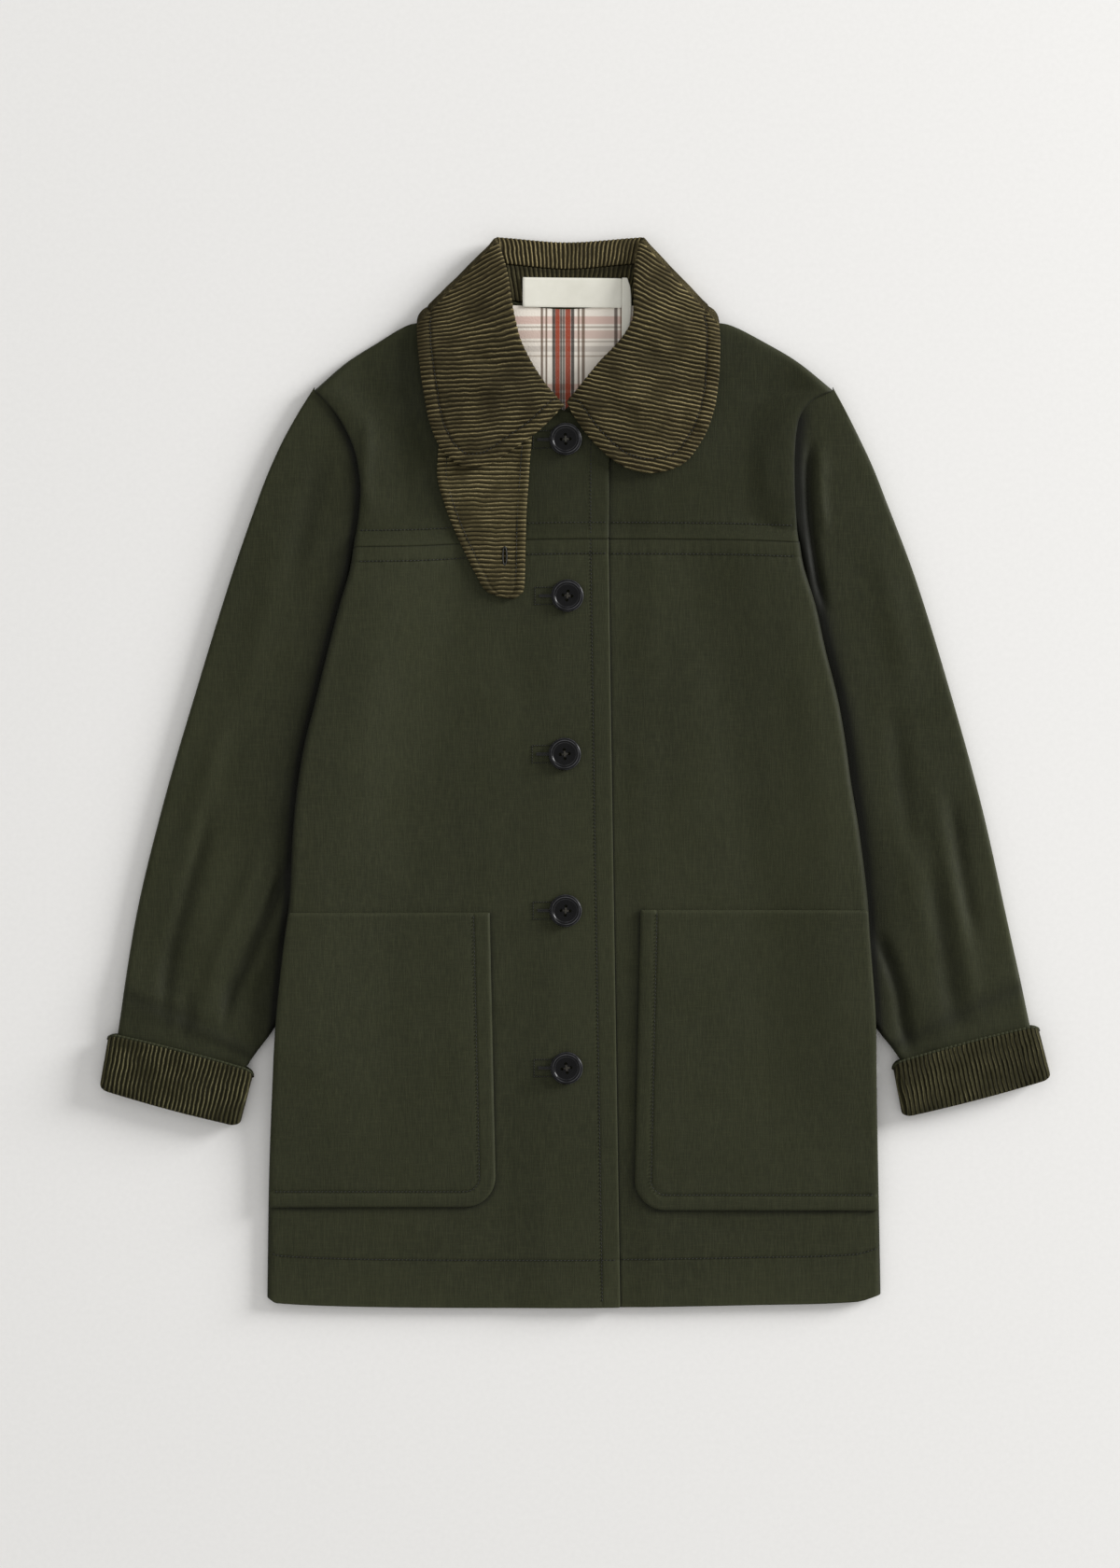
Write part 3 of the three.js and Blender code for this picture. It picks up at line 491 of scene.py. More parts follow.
def shell(name, upper, lower, material, attributes=None, wrap=False, coarse=1):
    """A closed wall between two grids of the same shape, its borders rounded where it isn't a ring.

    Of the lower face only every coarse-th row and column is kept."""
    rows, columns = upper.shape[:2]
    count = rows * columns
    top = np.arange(count).reshape(rows, columns)
    low = top + count
    over, under = upper.reshape(-1, 3), lower.reshape(-1, 3)
    points = [over, under]
    if wrap:
        top = np.column_stack([top, top[:, 0]])
        low = np.column_stack([low, low[:, 0]])
        faces = [quads(top), quads(low)[:, ::-1], quads(np.stack([top[0], low[0]]))[:, ::-1],
                 quads(np.stack([top[-1], low[-1]]))]
    else:
        faces = [quads(top), quads(low[::coarse, ::coarse])[:, ::-1]]
        loop, inside = border(top), border(top, 1)
        middle = (over[loop] + under[loop]) / 2
        half = (over[loop] - under[loop]) / 2
        up = unit(half)
        out = over[loop] - over[inside]
        out = unit(out - up * np.sum(out * up, axis=1, keepdims=True))
        radius = np.linalg.norm(half, axis=1, keepdims=True) * BORDER_ROUND
        bands = [loop]
        for n, angle in enumerate(BORDER_ANGLES):
            a = math.radians(angle)
            points.append(middle + half * math.cos(a) + out * radius * math.sin(a))
            bands.append(np.arange(len(loop)) + 2 * count + n * len(loop))
        if coarse == 1:
            bands.append(loop + count)
        ring = np.stack(bands)
        ring = np.column_stack([ring, ring[:, 0]])
        faces.append(quads(ring))
        if coarse > 1:
            for n in range(0, len(loop), coarse):
                fine = ring[-1, n:n + coarse + 1]
                ends = loop[[n % len(loop), (n + coarse) % len(loop)]] + count
                faces.append([[*fine[::-1], *ends]])
    points = np.concatenate(points)
    every = [np.asarray(face) for group in faces for face in group]
    used = np.zeros(len(points), bool)
    used[np.unique(np.concatenate(every))] = True
    moved = np.cumsum(used) - 1
    layers = {}
    for key, values in (attributes or {}).items():
        values = np.asarray(values).reshape(-1)
        edges = [] if wrap else [np.tile(values[loop], len(BORDER_ANGLES))]
        layers[key] = np.concatenate([values, values] + edges)[used]
    return new_object(name, points[used], [moved[face] for face in every], material, layers)


def spread(near_start, near_end, count):
    """Positions along an edge: distances kept near each end, and even steps between them."""
    def place(start, end):
        a = start + near_start[-1]
        b = end - near_end[-1]
        even = [mix(a, b, t) for t in np.linspace(0, 1, count + 1)[1:-1]]
        return np.stack([start + d for d in near_start] + even + [end - d for d in reversed(near_end)])
    return place


ROUND_EDGE = [0, 0.15, 0.5, 1.0, 1.8, 2.8, 4, 5.5, 7.5]
# The under front reaches LAP past the upper one's edge, with finer steps just outside that edge
LAP = 37
UNDER_LAP = [0, 12, 24, 33, 36, 37, 37.6, 38.3, 39.2, 40.5, 42.5, 45]
GROOVE = [-2.4, -1.4, -0.7, 0, 0.7, 1.4, 2.4]


def around(distance):
    return [distance + g for g in GROOVE]


def groove(distance, depth, width):
    return -depth * bell(distance, width)


def sewn(distance, along, depth=0.3, width=0.9):
    """The groove along a row of stitches with its gathers."""
    return groove(distance, depth, width) + pucker(distance, along)


def stitch_mark(distance, strength=0.1):
    """Painted shade: the dark line along the groove of a row of stitches."""
    return strength * bell(distance, 0.8)


def marks(wear_and_highlight, seam):
    """The pale and dark layers of a waxed piece: worn edges with painted highlight, and seam lines with
    painted shade.
    """
    return {"wear_and_highlight": np.clip(wear_and_highlight, 0, 1), "seam": np.clip(seam, 0, 1)}


def pucker(distance, along, depth=0.16, pitch=7.0):
    """Small uneven gathers beside a row of stitches."""
    wave = np.sin(along * 2 * math.pi / pitch) + 0.6 * np.sin(along * 2 * math.pi / (pitch * 1.73) + 1.3)
    return depth * wave * bell(distance, 4.0)


# Materials: scales are per metre and distances in metres
NOISE_ROUGHNESS = 0.55
WARP_PITCH = 0.0007
WEFT_PITCH = 0.0009
TWILL_PITCH = 0.0011
TAPE_RIB_PITCH = 0.0006
WEAR_AND_HIGHLIGHT_STRENGTH = 0.6
SEAM_AND_SHADE_STRENGTH = 0.93
SEAM_AND_SHADE_TONE = 0.15
CORD_SEAM_AND_SHADE_STRENGTH = 0.42
LIT_SIDE = 0.62
PILE_SHEEN = (150, 138, 96)
STRIPE_SOFT = 0.0004
FLANNEL_GROUND = (244, 236, 224)
FLANNEL_FUZZ = (205, 190, 170)
BUTTON_RIM_HIGHLIGHT = (120, 120, 124)
# The button's painted highlight rings on its rim: radius, half width, strength
RIM_HIGHLIGHT_RINGS = ((0.01215, 0.0002, 0.35), (0.0105, 0.00022, 0.5), (0.0088, 0.00015, 0.3))
THREAD_DARK_SHARE = 0.6


def srgb(r, g, b):
    def linear(c):
        c /= 255
        return c / 12.92 if c <= 0.04045 else ((c + 0.055) / 1.055) ** 2.4
    return (linear(r), linear(g), linear(b), 1)


class Tree:
    """Short calls for building a material's nodes."""

    def __init__(self, name):
        self.material = bpy.data.materials.new(name)
        self.material.use_nodes = True
        self.nodes = self.material.node_tree.nodes
        self.links = self.material.node_tree.links
        self.shader = self.nodes["Principled BSDF"]
        self.place = self.nodes.new("ShaderNodeTexCoord").outputs["Object"]

    def put(self, socket, value):
        if isinstance(value, (int, float, tuple)):
            socket.default_value = value
        else:
            self.links.new(value, socket)

    def math(self, operation, a, b=0.0):
        node = self.nodes.new("ShaderNodeMath")
        node.operation = operation
        self.put(node.inputs[0], a)
        self.put(node.inputs[1], b)
        return node.outputs[0]

    def times(self, a, b):
        return self.math("MULTIPLY", a, b)

    def away(self, value, centre):
        """The distance of a value from a centre."""
        return self.math("ABSOLUTE", self.math("SUBTRACT", value, centre))

    def wave(self, coordinate, pitch):
        return self.math("SINE", self.times(coordinate, 2 * math.pi / pitch))

    def axes(self, vector=None):
        node = self.nodes.new("ShaderNodeSeparateXYZ")
        self.links.new(vector or self.place, node.inputs[0])
        return node.outputs

    def stretch(self, scale, turn=0.0):
        node = self.nodes.new("ShaderNodeMapping")
        self.links.new(self.place, node.inputs["Vector"])
        node.inputs["Scale"].default_value = scale
        node.inputs["Rotation"].default_value = (0, 0, turn)
        return node.outputs[0]

    def noise(self, scale, detail=3.0, vector=None):
        node = self.nodes.new("ShaderNodeTexNoise")
        self.links.new(vector or self.place, node.inputs["Vector"])
        node.inputs["Scale"].default_value = scale
        node.inputs["Detail"].default_value = detail
        node.inputs["Roughness"].default_value = NOISE_ROUGHNESS
        return node.outputs["Fac"]

    def attribute(self, name):
        node = self.nodes.new("ShaderNodeAttribute")
        node.attribute_name = name
        return node.outputs["Fac"]

    def span(self, value, low, high, to_low=0.0, to_high=1.0):
        node = self.nodes.new("ShaderNodeMapRange")
        self.links.new(value, node.inputs["Value"])
        for key, v in (("From Min", low), ("From Max", high), ("To Min", to_low), ("To Max", to_high)):
            node.inputs[key].default_value = v
        return node.outputs[0]

    def blend(self, factor, a, b):
        """Colour a going over to b with the factor."""
        node = self.nodes.new("ShaderNodeMix")
        node.data_type = "RGBA"
        for socket, value in ((node.inputs[0], factor), (node.inputs[6], a), (node.inputs[7], b)):
            self.put(socket, value)
        return node.outputs[2]

    def bump(self, height, strength, distance, normal=None):
        node = self.nodes.new("ShaderNodeBump")
        node.inputs["Strength"].default_value = strength
        node.inputs["Distance"].default_value = distance
        self.links.new(height, node.inputs["Height"])
        if normal:
            self.links.new(normal, node.inputs["Normal"])
        return node.outputs[0]

    def finish(self, tone, values, normal=None):
        """Joins the tone, other values by input and the normal to the shader."""
        self.links.new(tone, self.shader.inputs["Base Color"])
        for key, value in values.items():
            self.put(self.shader.inputs[key], value)
        if normal:
            self.links.new(normal, self.shader.inputs["Normal"])
        return self.material


def darker(colour, share):
    return tuple(part * share for part in colour[:3]) + (1,)


def waxed_cotton(name, base, light, dark, thread_turn=0.0):
    """Waxed cloth: soft clouds of wax, fine uneven warp threads, pale edges that are partly worn and partly
    painted highlight, and dark seam lines with painted shade.
    """
    tree = Tree(name)
    cloud = tree.noise(6, 4, tree.stretch((1.4, 0.8, 1)))
    streak = tree.noise(1200, 2, tree.stretch((1, 0.08, 1), thread_turn))
    cross = tree.noise(1100, 2, tree.stretch((0.08, 1, 1), thread_turn))
    broad = tree.noise(170, 3, tree.stretch((1, 0.06, 1), thread_turn))
    grain = tree.noise(1300, 2)
    tone = tree.blend(tree.span(cloud, 0.32, 0.7), dark, base)
    patterns = (
        # noise, its low and high value, strength, colour
        (streak, 0.4, 0.75, 0.42, light),
        (cross, 0.45, 0.8, 0.3, light),
        (broad, 0.5, 0.85, 0.13, light),
        (grain, 0.45, 0.75, 0.35, dark),
    )
    for noise, low, high, strength, colour in patterns:
        tone = tree.blend(tree.span(noise, low, high, 0, strength), tone, colour)
    # Paler by the first layer: worn edges, and painted highlight on folds, fold rims and crease ridges.
    patchy = tree.times(tree.attribute("wear_and_highlight"), tree.span(tree.noise(120, 4), 0.3, 0.7, 0.35, 1.0))
    tone = tree.blend(tree.times(patchy, WEAR_AND_HIGHLIGHT_STRENGTH), tone, light)
    # Darker by the seam layer: seam lines, and painted shade along edges, under overlaps, beside the body and
    # in crease troughs.
    tone = tree.blend(tree.times(tree.attribute("seam"), SEAM_AND_SHADE_STRENGTH), tone, darker(dark, SEAM_AND_SHADE_TONE))
    x, y, _ = tree.axes(tree.stretch((1, 1, 1), thread_turn))
    weave = tree.times(tree.wave(x, WARP_PITCH), tree.wave(y, WEFT_PITCH))
    normal = tree.bump(weave, 0.25, 0.00006)
    normal = tree.bump(streak, 0.35, 0.0004, normal)
    normal = tree.bump(tree.noise(26, 4), 0.25, 0.0025, normal)
    return tree.finish(tone, {
        "Roughness": tree.span(tree.noise(35, 3), 0.3, 0.7, 0.6, 0.78),
        "Sheen Weight": 0.02,
        "Specular IOR Level": 0.17,
    }, normal)


def corduroy(name, ridge_tone, valley_tone, lit_tone):
    """Ribbed velvet: each wale is a rounded ridge, its valleys darkened as painted shade, with a paler,
    patchy line of painted highlight on its lit side.
    """
    tree = Tree(name)
    wobble = tree.span(tree.noise(60, 3), 0.25, 0.75, -0.27, 0.27)
    phase = tree.math("FRACT", tree.math("ADD", tree.attribute("wale"), wobble))
    off_middle = tree.away(phase, 0.5)
    height = tree.span(tree.times(off_middle, off_middle), 0.0, 0.25, 1.0, 0.0)
    # A pale line on one side of each wale: painted highlight where the light falls.
    lit = tree.span(tree.away(phase, LIT_SIDE), 0.01, 0.14, 1.0, 0.0)
    nap = tree.noise(1100, 3)
    # Valleys darker than the ridges: painted shade of the wales.
    tone = tree.blend(tree.span(height, 0.1, 0.9), valley_tone, ridge_tone)
    share = tree.times(lit, tree.span(tree.noise(55, 4), 0.36, 0.62, 0.12, 1.2))
    share = tree.times(share, tree.span(nap, 0.3, 0.6, 0.35, 1.0))
    tone = tree.blend(share, tone, lit_tone)
    tone = tree.blend(tree.span(tree.noise(22, 3), 0.42, 0.66, 0, 0.34), tone, valley_tone)
    # The seam layer: painted shade in stitch grooves, under the collar's roll, at the cuff's lap and in the
    # tab's slit.
    tone = tree.blend(tree.times(tree.attribute("seam"), CORD_SEAM_AND_SHADE_STRENGTH), tone, valley_tone)
    return tree.finish(tone, {
        "Roughness": 0.85,
        "Sheen Weight": 0.16,
        "Sheen Roughness": 0.4,
        "Sheen Tint": srgb(*PILE_SHEEN),
        "Specular IOR Level": 0.12,
    }, tree.bump(nap, 0.5, 0.0004, tree.bump(height, 0.8, 0.0007)))


def band(tree, coordinate, centre, half, soft=STRIPE_SOFT):
    """1 inside a stripe, 0 outside, along one coordinate in metres."""
    return tree.span(tree.away(coordinate, centre), half - soft, half + soft, 1.0, 0.0)


# A plain tartan of the usual kind: x or y of the middle, half width, colour, strength, in millimetres
LINING_UPRIGHTS = [
    (-13.4, 1.8, (150, 46, 4), 1.0), (-5.4, 2.1, (150, 46, 4), 1.0), (-16.3, 1.2, (22, 12, 12), 0.95),
    (-10.6, 0.9, (30, 16, 14), 0.9), (-8.6, 0.8, (30, 16, 14), 0.9), (-1.8, 1.3, (22, 12, 12), 0.95),
    (2.8, 0.7, (84, 58, 32), 0.9), (6.4, 1.2, (84, 58, 32), 0.85), (-25.4, 0.9, (84, 58, 32), 0.9),
    (-22.0, 0.7, (84, 58, 32), 0.9), (31.5, 1.3, (50, 30, 22), 0.85), (35.5, 0.8, (84, 58, 32), 0.8),
]
LINING_LEVELS = [
    (347, 3.0, (196, 144, 132), 0.6), (341.6, 0.7, (110, 88, 72), 0.6), (336, 3.2, (192, 152, 140), 0.6),
    (330.6, 0.6, (110, 88, 72), 0.5), (325, 2.2, (168, 158, 150), 0.5), (319.5, 0.6, (128, 100, 74), 0.5),
    (296, 2.4, (186, 120, 98), 0.5), (289, 2.4, (186, 120, 98), 0.5), (284, 0.7, (110, 88, 72), 0.6),
]


def flannel():
    tree = Tree("flannel_check")
    x, y, _ = tree.axes()
    tone = srgb(*FLANNEL_GROUND)
    twill = tree.span(tree.wave(tree.math("ADD", x, y), TWILL_PITCH), -0.6, 0.6, 0.86, 1.0)
    for coordinate, stripes in ((y, LINING_LEVELS), (x, LINING_UPRIGHTS)):
        for centre, half, colour, strength in stripes:
            share = tree.times(band(tree, coordinate, centre * MM, half * MM), strength)
            tone = tree.blend(tree.times(share, twill), tone, srgb(*colour))
    fuzz = tree.noise(700, 3)
    tone = tree.blend(tree.span(fuzz, 0.4, 0.8, 0, 0.07), tone, srgb(*FLANNEL_FUZZ))
    values = {"Roughness": 0.95, "Sheen Weight": 0.01, "Specular IOR Level": 0.1}
    return tree.finish(tone, values, tree.bump(fuzz, 0.5, 0.0004))


def tape():
    tree = Tree("label_tape")
    ribs = tree.wave(tree.axes()[1], TAPE_RIB_PITCH)
    tone = tree.blend(tree.span(tree.noise(60, 3), 0.3, 0.7), srgb(228, 226, 213), srgb(237, 235, 223))
    values = {"Roughness": 0.85, "Specular IOR Level": 0.25}
    return tree.finish(tone, values, tree.bump(ribs, 0.3, 0.00008))


def polished():
    tree = Tree("button_black")
    swirl = tree.noise(90, 3)
    tone = tree.blend(tree.span(swirl, 0.4, 0.7), srgb(2, 2, 3), srgb(7, 7, 8))
    x, y, _ = tree.axes()
    radius = tree.math("SQRT", tree.math("ADD", tree.times(x, x), tree.times(y, y)))
    patchy = tree.span(tree.noise(150, 2), 0.35, 0.65, 0.15, 0.9)
    # Pale rings on the rim: painted highlight.
    for ring, half, strength in RIM_HIGHLIGHT_RINGS:
        rim_highlight = tree.times(band(tree, radius, ring, half, 0.0002), patchy)
        tone = tree.blend(tree.times(rim_highlight, strength), tone, srgb(*BUTTON_RIM_HIGHLIGHT))
    return tree.finish(tone, {
        "Roughness": tree.span(swirl, 0.3, 0.7, 0.2, 0.34),
        "Specular IOR Level": 0.2,
    })


def thread(name, colour):
    tree = Tree(name)
    pale = srgb(*colour)
    twist = tree.span(tree.noise(1500, 2), 0.35, 0.65)
    return tree.finish(tree.blend(twist, darker(pale, THREAD_DARK_SHARE), pale), {"Roughness": 0.6})


def tones(*colours):
    return [srgb(*colour) for colour in colours]


# Waxed cloth: base, pale tone (worn edges and painted highlight) and deep tone (clouds, grain and painted
# shade), and the turn of its threads; corduroy: ridge, valley (painted shade) and lit line (painted
# highlight)
WAXED = waxed_cotton("waxed_body", *tones((44, 46, 28), (62, 64, 42), (36, 38, 22)))
WAXED_YOKE = waxed_cotton("waxed_yoke", *tones((39, 41, 23), (55, 57, 35), (32, 34, 18)))
WAXED_SLEEVE = waxed_cotton("waxed_sleeve", *tones((42, 44, 26), (60, 62, 40), (33, 35, 19)), 0.28)
CORD = corduroy("corduroy_collar", *tones((66, 59, 37), (22, 18, 8), (160, 146, 104)))
CORD_TAB = corduroy("corduroy_tab", *tones((71, 64, 40), (26, 23, 11), (168, 154, 112)))
CORD_CUFF = corduroy("corduroy_cuff", *tones((46, 44, 25), (16, 15, 6), (116, 111, 80)))
CORD_INNER = corduroy("corduroy_stand", *tones((56, 52, 32), (22, 20, 10), (112, 104, 76)))
FLANNEL = flannel()
TAPE = tape()
BLACK = polished()
THREAD = thread("thread_olive", (17, 18, 9))
SLIT_SHADE_THREAD = thread("slit_shade_black", (8, 8, 6))
THREAD_PALE = thread("thread_grey", (62, 59, 50))


def declare(obj, nodes, slot, flat=None, area=None, rests_on=()):
    """Hangs a piece on the body and hides the parts it stands for; what it is cut from is not used."""
    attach(obj, BODY)
    if nodes:
        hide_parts(*nodes)


# Topstitching: rows of short threads on any surface
STITCHES = []


def stitch_row(points, lift=0.12, pitch=STITCH_PITCH, length=STITCH_LENGTH):
    """Adds stitches along a line of points that already lie on the cloth."""
    points = np.asarray(points, float)
    reach = reach_along(points)
    count = max(int(reach[-1] / pitch), 1)
    at = (np.arange(count) + 0.5) * reach[-1] / count

    def on_line(places):
        return np.stack([np.interp(places, reach, points[:, n]) for n in range(3)], 1)

    centre = on_line(at)
    along = unit(on_line(at + length / 2) - on_line(at - length / 2))
    centre[:, 2] += lift
    STITCHES.append((centre, along, length))


def stitch_mesh(name, rows, material):
    """One mesh of all the stitches: each a six-sided spindle, sunk at its ends."""
    sides = 6
    points = []
    faces = []
    start = 0
    up = np.array([0, 0, 1.0])
    for centre, along, length in rows:
        side = unit(np.cross(up, along))
        for n in range(len(centre)):
            for share, width, sink in STITCH_PROFILE:
                middle = centre[n] + along[n] * share * length + up * sink
                for k in range(sides):
                    angle = 2 * math.pi * k / sides
                    spoke = side[n] * math.cos(angle) + up * math.sin(angle)
                    points.append(middle + spoke * THREAD_RADIUS * width)
            for ring in range(len(STITCH_PROFILE) - 1):
                for k in range(sides):
                    a = start + ring * sides + k
                    b = start + ring * sides + (k + 1) % sides
                    faces.append((a, b, b + sides, a + sides))
            start += len(STITCH_PROFILE) * sides
    return new_object(name, points, faces, material, smooth_angle=80)


def on_front(side, xs, ys):
    """Points on the outer face of a front."""
    xs, ys = np.broadcast_arrays(np.asarray(xs, float), np.asarray(ys, float))
    return np.stack([xs, ys, outer_top(side, xs, ys)], -1)


# Body panels
def edge_height(top, x, y):
    """The outer face's height where it turns in at the body's side."""
    return mix(top - 0.9, fold_height(x, y) + FOLD_GAP / 2, closed_side(y))


def front_height(side, x, y):
    top = outer_top(side, x, y)
    d = np.abs(x - column(BODY_SIDES, y, FRONTS[side]["edge"]))
    return mix(edge_height(top, x, y), top, rim(d, FOLD_RADIUS))


def inner_face(upper, wall, above):
    """The wall's other face, kept on its own side of the fold where front and back meet."""
    lower = upper - normals_of(upper) * wall
    x, y, z = lower[..., 0], lower[..., 1], lower[..., 2]
    sign = 1 if above else -1
    fold = fold_height(x, y) + sign * FOLD_GAP / 2
    near = (side_distance(x, y) < 8) & (closed_side(y) > 0.5)
    limit = np.where(near, fold, -sign * 1e9)
    ridge_line = shoulder_height(x, y) + sign * FOLD_GAP / 2
    top_near = (y > 280) & (column(SHOULDERS, x) - y < 6)
    limit = np.where(top_near, ridge_line, limit)
    lower[..., 2] = np.maximum(z, limit) if above else np.minimum(z, limit)
    return lower


def pocket_shade(side, x, y):
    """Painted shadow: the dark line on the front along a pocket's open edges."""
    gap, _ = line_distance(np.array(pocket_outline(side, 0)), x, y)
    return 0.8 * bell(gap, 2.2)


def front_panel(side):
    is_right = side == "right"
    cut = FRONTS[side]
    left_edge = ROUND_EDGE if is_right else UNDER_LAP
    right_edge = [0, 1, 3] + around(PLACKET_STITCH) if is_right else ROUND_EDGE
    across = spread(left_edge, right_edge, 74)
    up = spread([0, 0.6, 2] + around(HEM_STITCH), [0, 0.5, 1.2, 2.2] + around(YOKE_STITCH), 150)
    shares = across(0.0, 240.0) / 240.0
    hem_y = column(HEM, mix(*cut["hem"], shares))
    seam_y = column(YOKE_SEAM, mix(*cut["seam"], shares)) - 0.3
    y = up(hem_y, seam_y).T
    sides = sample(BODY_SIDES, y)
    if is_right:
        start, end = sides[..., 0], column(PLACKET_EDGE, y)
    else:
        start, end = column(PLACKET_EDGE, y) - LAP, sides[..., 1]
    x = np.stack([across(start[i], end[i])[i] for i in range(len(shares))])
    z = front_height(side, x, y)
    from_hem = y - hem_y[:, None]
    from_seam = seam_y[:, None] - y
    z += sewn(from_hem - HEM_STITCH, x)
    z += sewn(from_seam - YOKE_STITCH, x)
    z += 0.55 * bell(from_seam, 3) - 0.5 * bell(from_seam, 0.8)
    # Paler along the hem, below the yoke seam and at the placket edge: worn edges and painted highlight.
    wear_and_highlight = 0.7 * bell(from_hem, 2.5) + 0.25 * bell(from_seam - 3, 5)
    # Darker along stitch grooves, the yoke seam, the body's side fold and the pocket's edges: painted shade.
    seam = stitch_mark(from_hem - HEM_STITCH)
    seam += stitch_mark(from_seam - YOKE_STITCH) + 0.9 * bell(from_seam, 1.0)
    seam += 0.7 * bell(side_distance(x, y), 1.6)
    if is_right:
        from_edge = end - x
        z += sewn(from_edge - PLACKET_STITCH, y)
        wear_and_highlight += 0.45 * bell(from_edge, 1.5)
        seam += stitch_mark(from_edge - PLACKET_STITCH, 0.12)
    else:
        # Painted shadow of the right front's edge on the left front.
        seam += 1.5 * bell(x - column(PLACKET_EDGE, y) - 0.4, 1.3)
    seam += pocket_shade(side, x, y)
    face = np.stack([x, y, z], -1)
    obj = shell("shell_front_" + side, face, inner_face(face, PANEL_WALL, True), WAXED, marks(wear_and_highlight, seam))
    declare(obj, ["front_" + side], "waxed_cotton", *cut["front"], rests_on=["back_panel"])
    row = np.linspace(*cut["hem_row"])
    stitch_row(on_front(side, row, column(HEM, row) + HEM_STITCH))
    row = np.linspace(*cut["seam_row"])
    stitch_row(on_front(side, row, column(YOKE_SEAM, row) - YOKE_STITCH))
    if is_right:
        row = np.linspace(-408, 258, 400)
        stitch_row(on_front(side, column(PLACKET_EDGE, row) - PLACKET_STITCH, row))


def coons(left, right, low, top):
    """A patch between four curves: x, y at (u, v) arrays."""
    def patch(u, v):
        across, up = u[..., None], v[..., None]
        corners = mix(mix(left(0.0), right(0.0), across), mix(left(1.0), right(1.0), across), up)
        return mix(left(v), right(v), across) + mix(low(u), top(u), up) - corners
    return patch


def seam_at(side, u):
    return mix(*FRONTS[side]["seam"], u)


def yoke_plan(side):
    """The yoke's x, y between armhole, neck, seam and shoulder."""
    is_right = side == "right"
    start_y = column(YOKE_SEAM, seam_at(side, 0.0 if is_right else 1.0))
    neck = route(NECK_RIGHT if is_right else NECK_LEFT)

    def armhole(v):
        y = mix(start_y, SHOULDER_Y, np.asarray(v, float))
        return np.stack([column(BODY_SIDES, y, FRONTS[side]["edge"]), y], -1)

    def shoulder(t):
        x = mix(*FRONTS[side]["shoulder"], np.asarray(t, float))
        return np.stack([x, column(SHOULDERS, x)], -1)

    def seam(u):
        x = seam_at(side, np.asarray(u, float))
        return np.stack([x, column(YOKE_SEAM, x)], -1)

    if is_right:
        return coons(armhole, neck, seam, shoulder)
    return coons(neck, armhole, seam, lambda u: shoulder(1 - np.asarray(u, float)))


def yoke(side):
    is_right = side == "right"
    cut = FRONTS[side]
    plan = yoke_plan(side)
    fine = np.concatenate([[0, 0.001, 0.003, 0.006, 0.01, 0.016, 0.024], np.linspace(0.035, 1, 72)])
    us = fine if is_right else (1 - fine)[::-1]
    rows = np.array([0, 0.5, 1.2, 2.2, 4, 6.5] + around(YOKE_STITCH)) / 150
    vs = np.concatenate([rows, np.linspace(rows[-1], 0.97, 56)[1:], [0.98, 0.988, 0.994, 0.998, 1]])
    u, v = grid_of(us, vs)
    place = plan(u, v)
    x, y = place[..., 0], place[..., 1]
    top = outer_top(side, x, y)
    arm = plan(np.full_like(u, 0.0 if is_right else 1.0), v)
    crown = plan(u, np.ones_like(v))
    from_arm = np.hypot(x - arm[..., 0], y - arm[..., 1])
    from_crown = np.hypot(x - crown[..., 0], y - crown[..., 1])
    from_seam = y - column(YOKE_SEAM, x)
    height = mix(edge_height(top, x, y), top, rim(from_arm, FOLD_RADIUS))
    middle = shoulder_height(x, y) + FOLD_GAP / 2
    z = mix(np.minimum(middle, height), height, rim(from_crown, FOLD_RADIUS))
    z += sewn(from_seam - YOKE_STITCH, x)
    z += 0.8 * bell(from_seam, 4)
    # Paler at the seam and at the shoulder fold: worn edges and painted highlight.
    wear_and_highlight = 0.3 * bell(from_seam, 4) + 0.4 * bell(from_crown, 8)
    # Darker in the stitch groove and at the armhole: painted shade; on the left yoke also the painted shadow
    # of the right front's edge.
    seam = stitch_mark(from_seam - YOKE_STITCH) + 0.6 * bell(from_arm, 1.1)
    if not is_right:
        seam += 1.1 * bell(x - column(PLACKET_EDGE, y) - 0.6, 1.8)
    face = np.stack([x, y, z], -1)
    obj = shell("shell_yoke_" + side, face, inner_face(face, PANEL_WALL, True), WAXED_YOKE, marks(wear_and_highlight, seam))
    declare(obj, ["yoke_" + side], "waxed_cotton", *cut["yoke"], rests_on=["back_panel"])
    row = np.linspace(*cut["yoke_row"])
    stitch_row(on_front(side, row, column(YOKE_SEAM, row) + YOKE_STITCH))


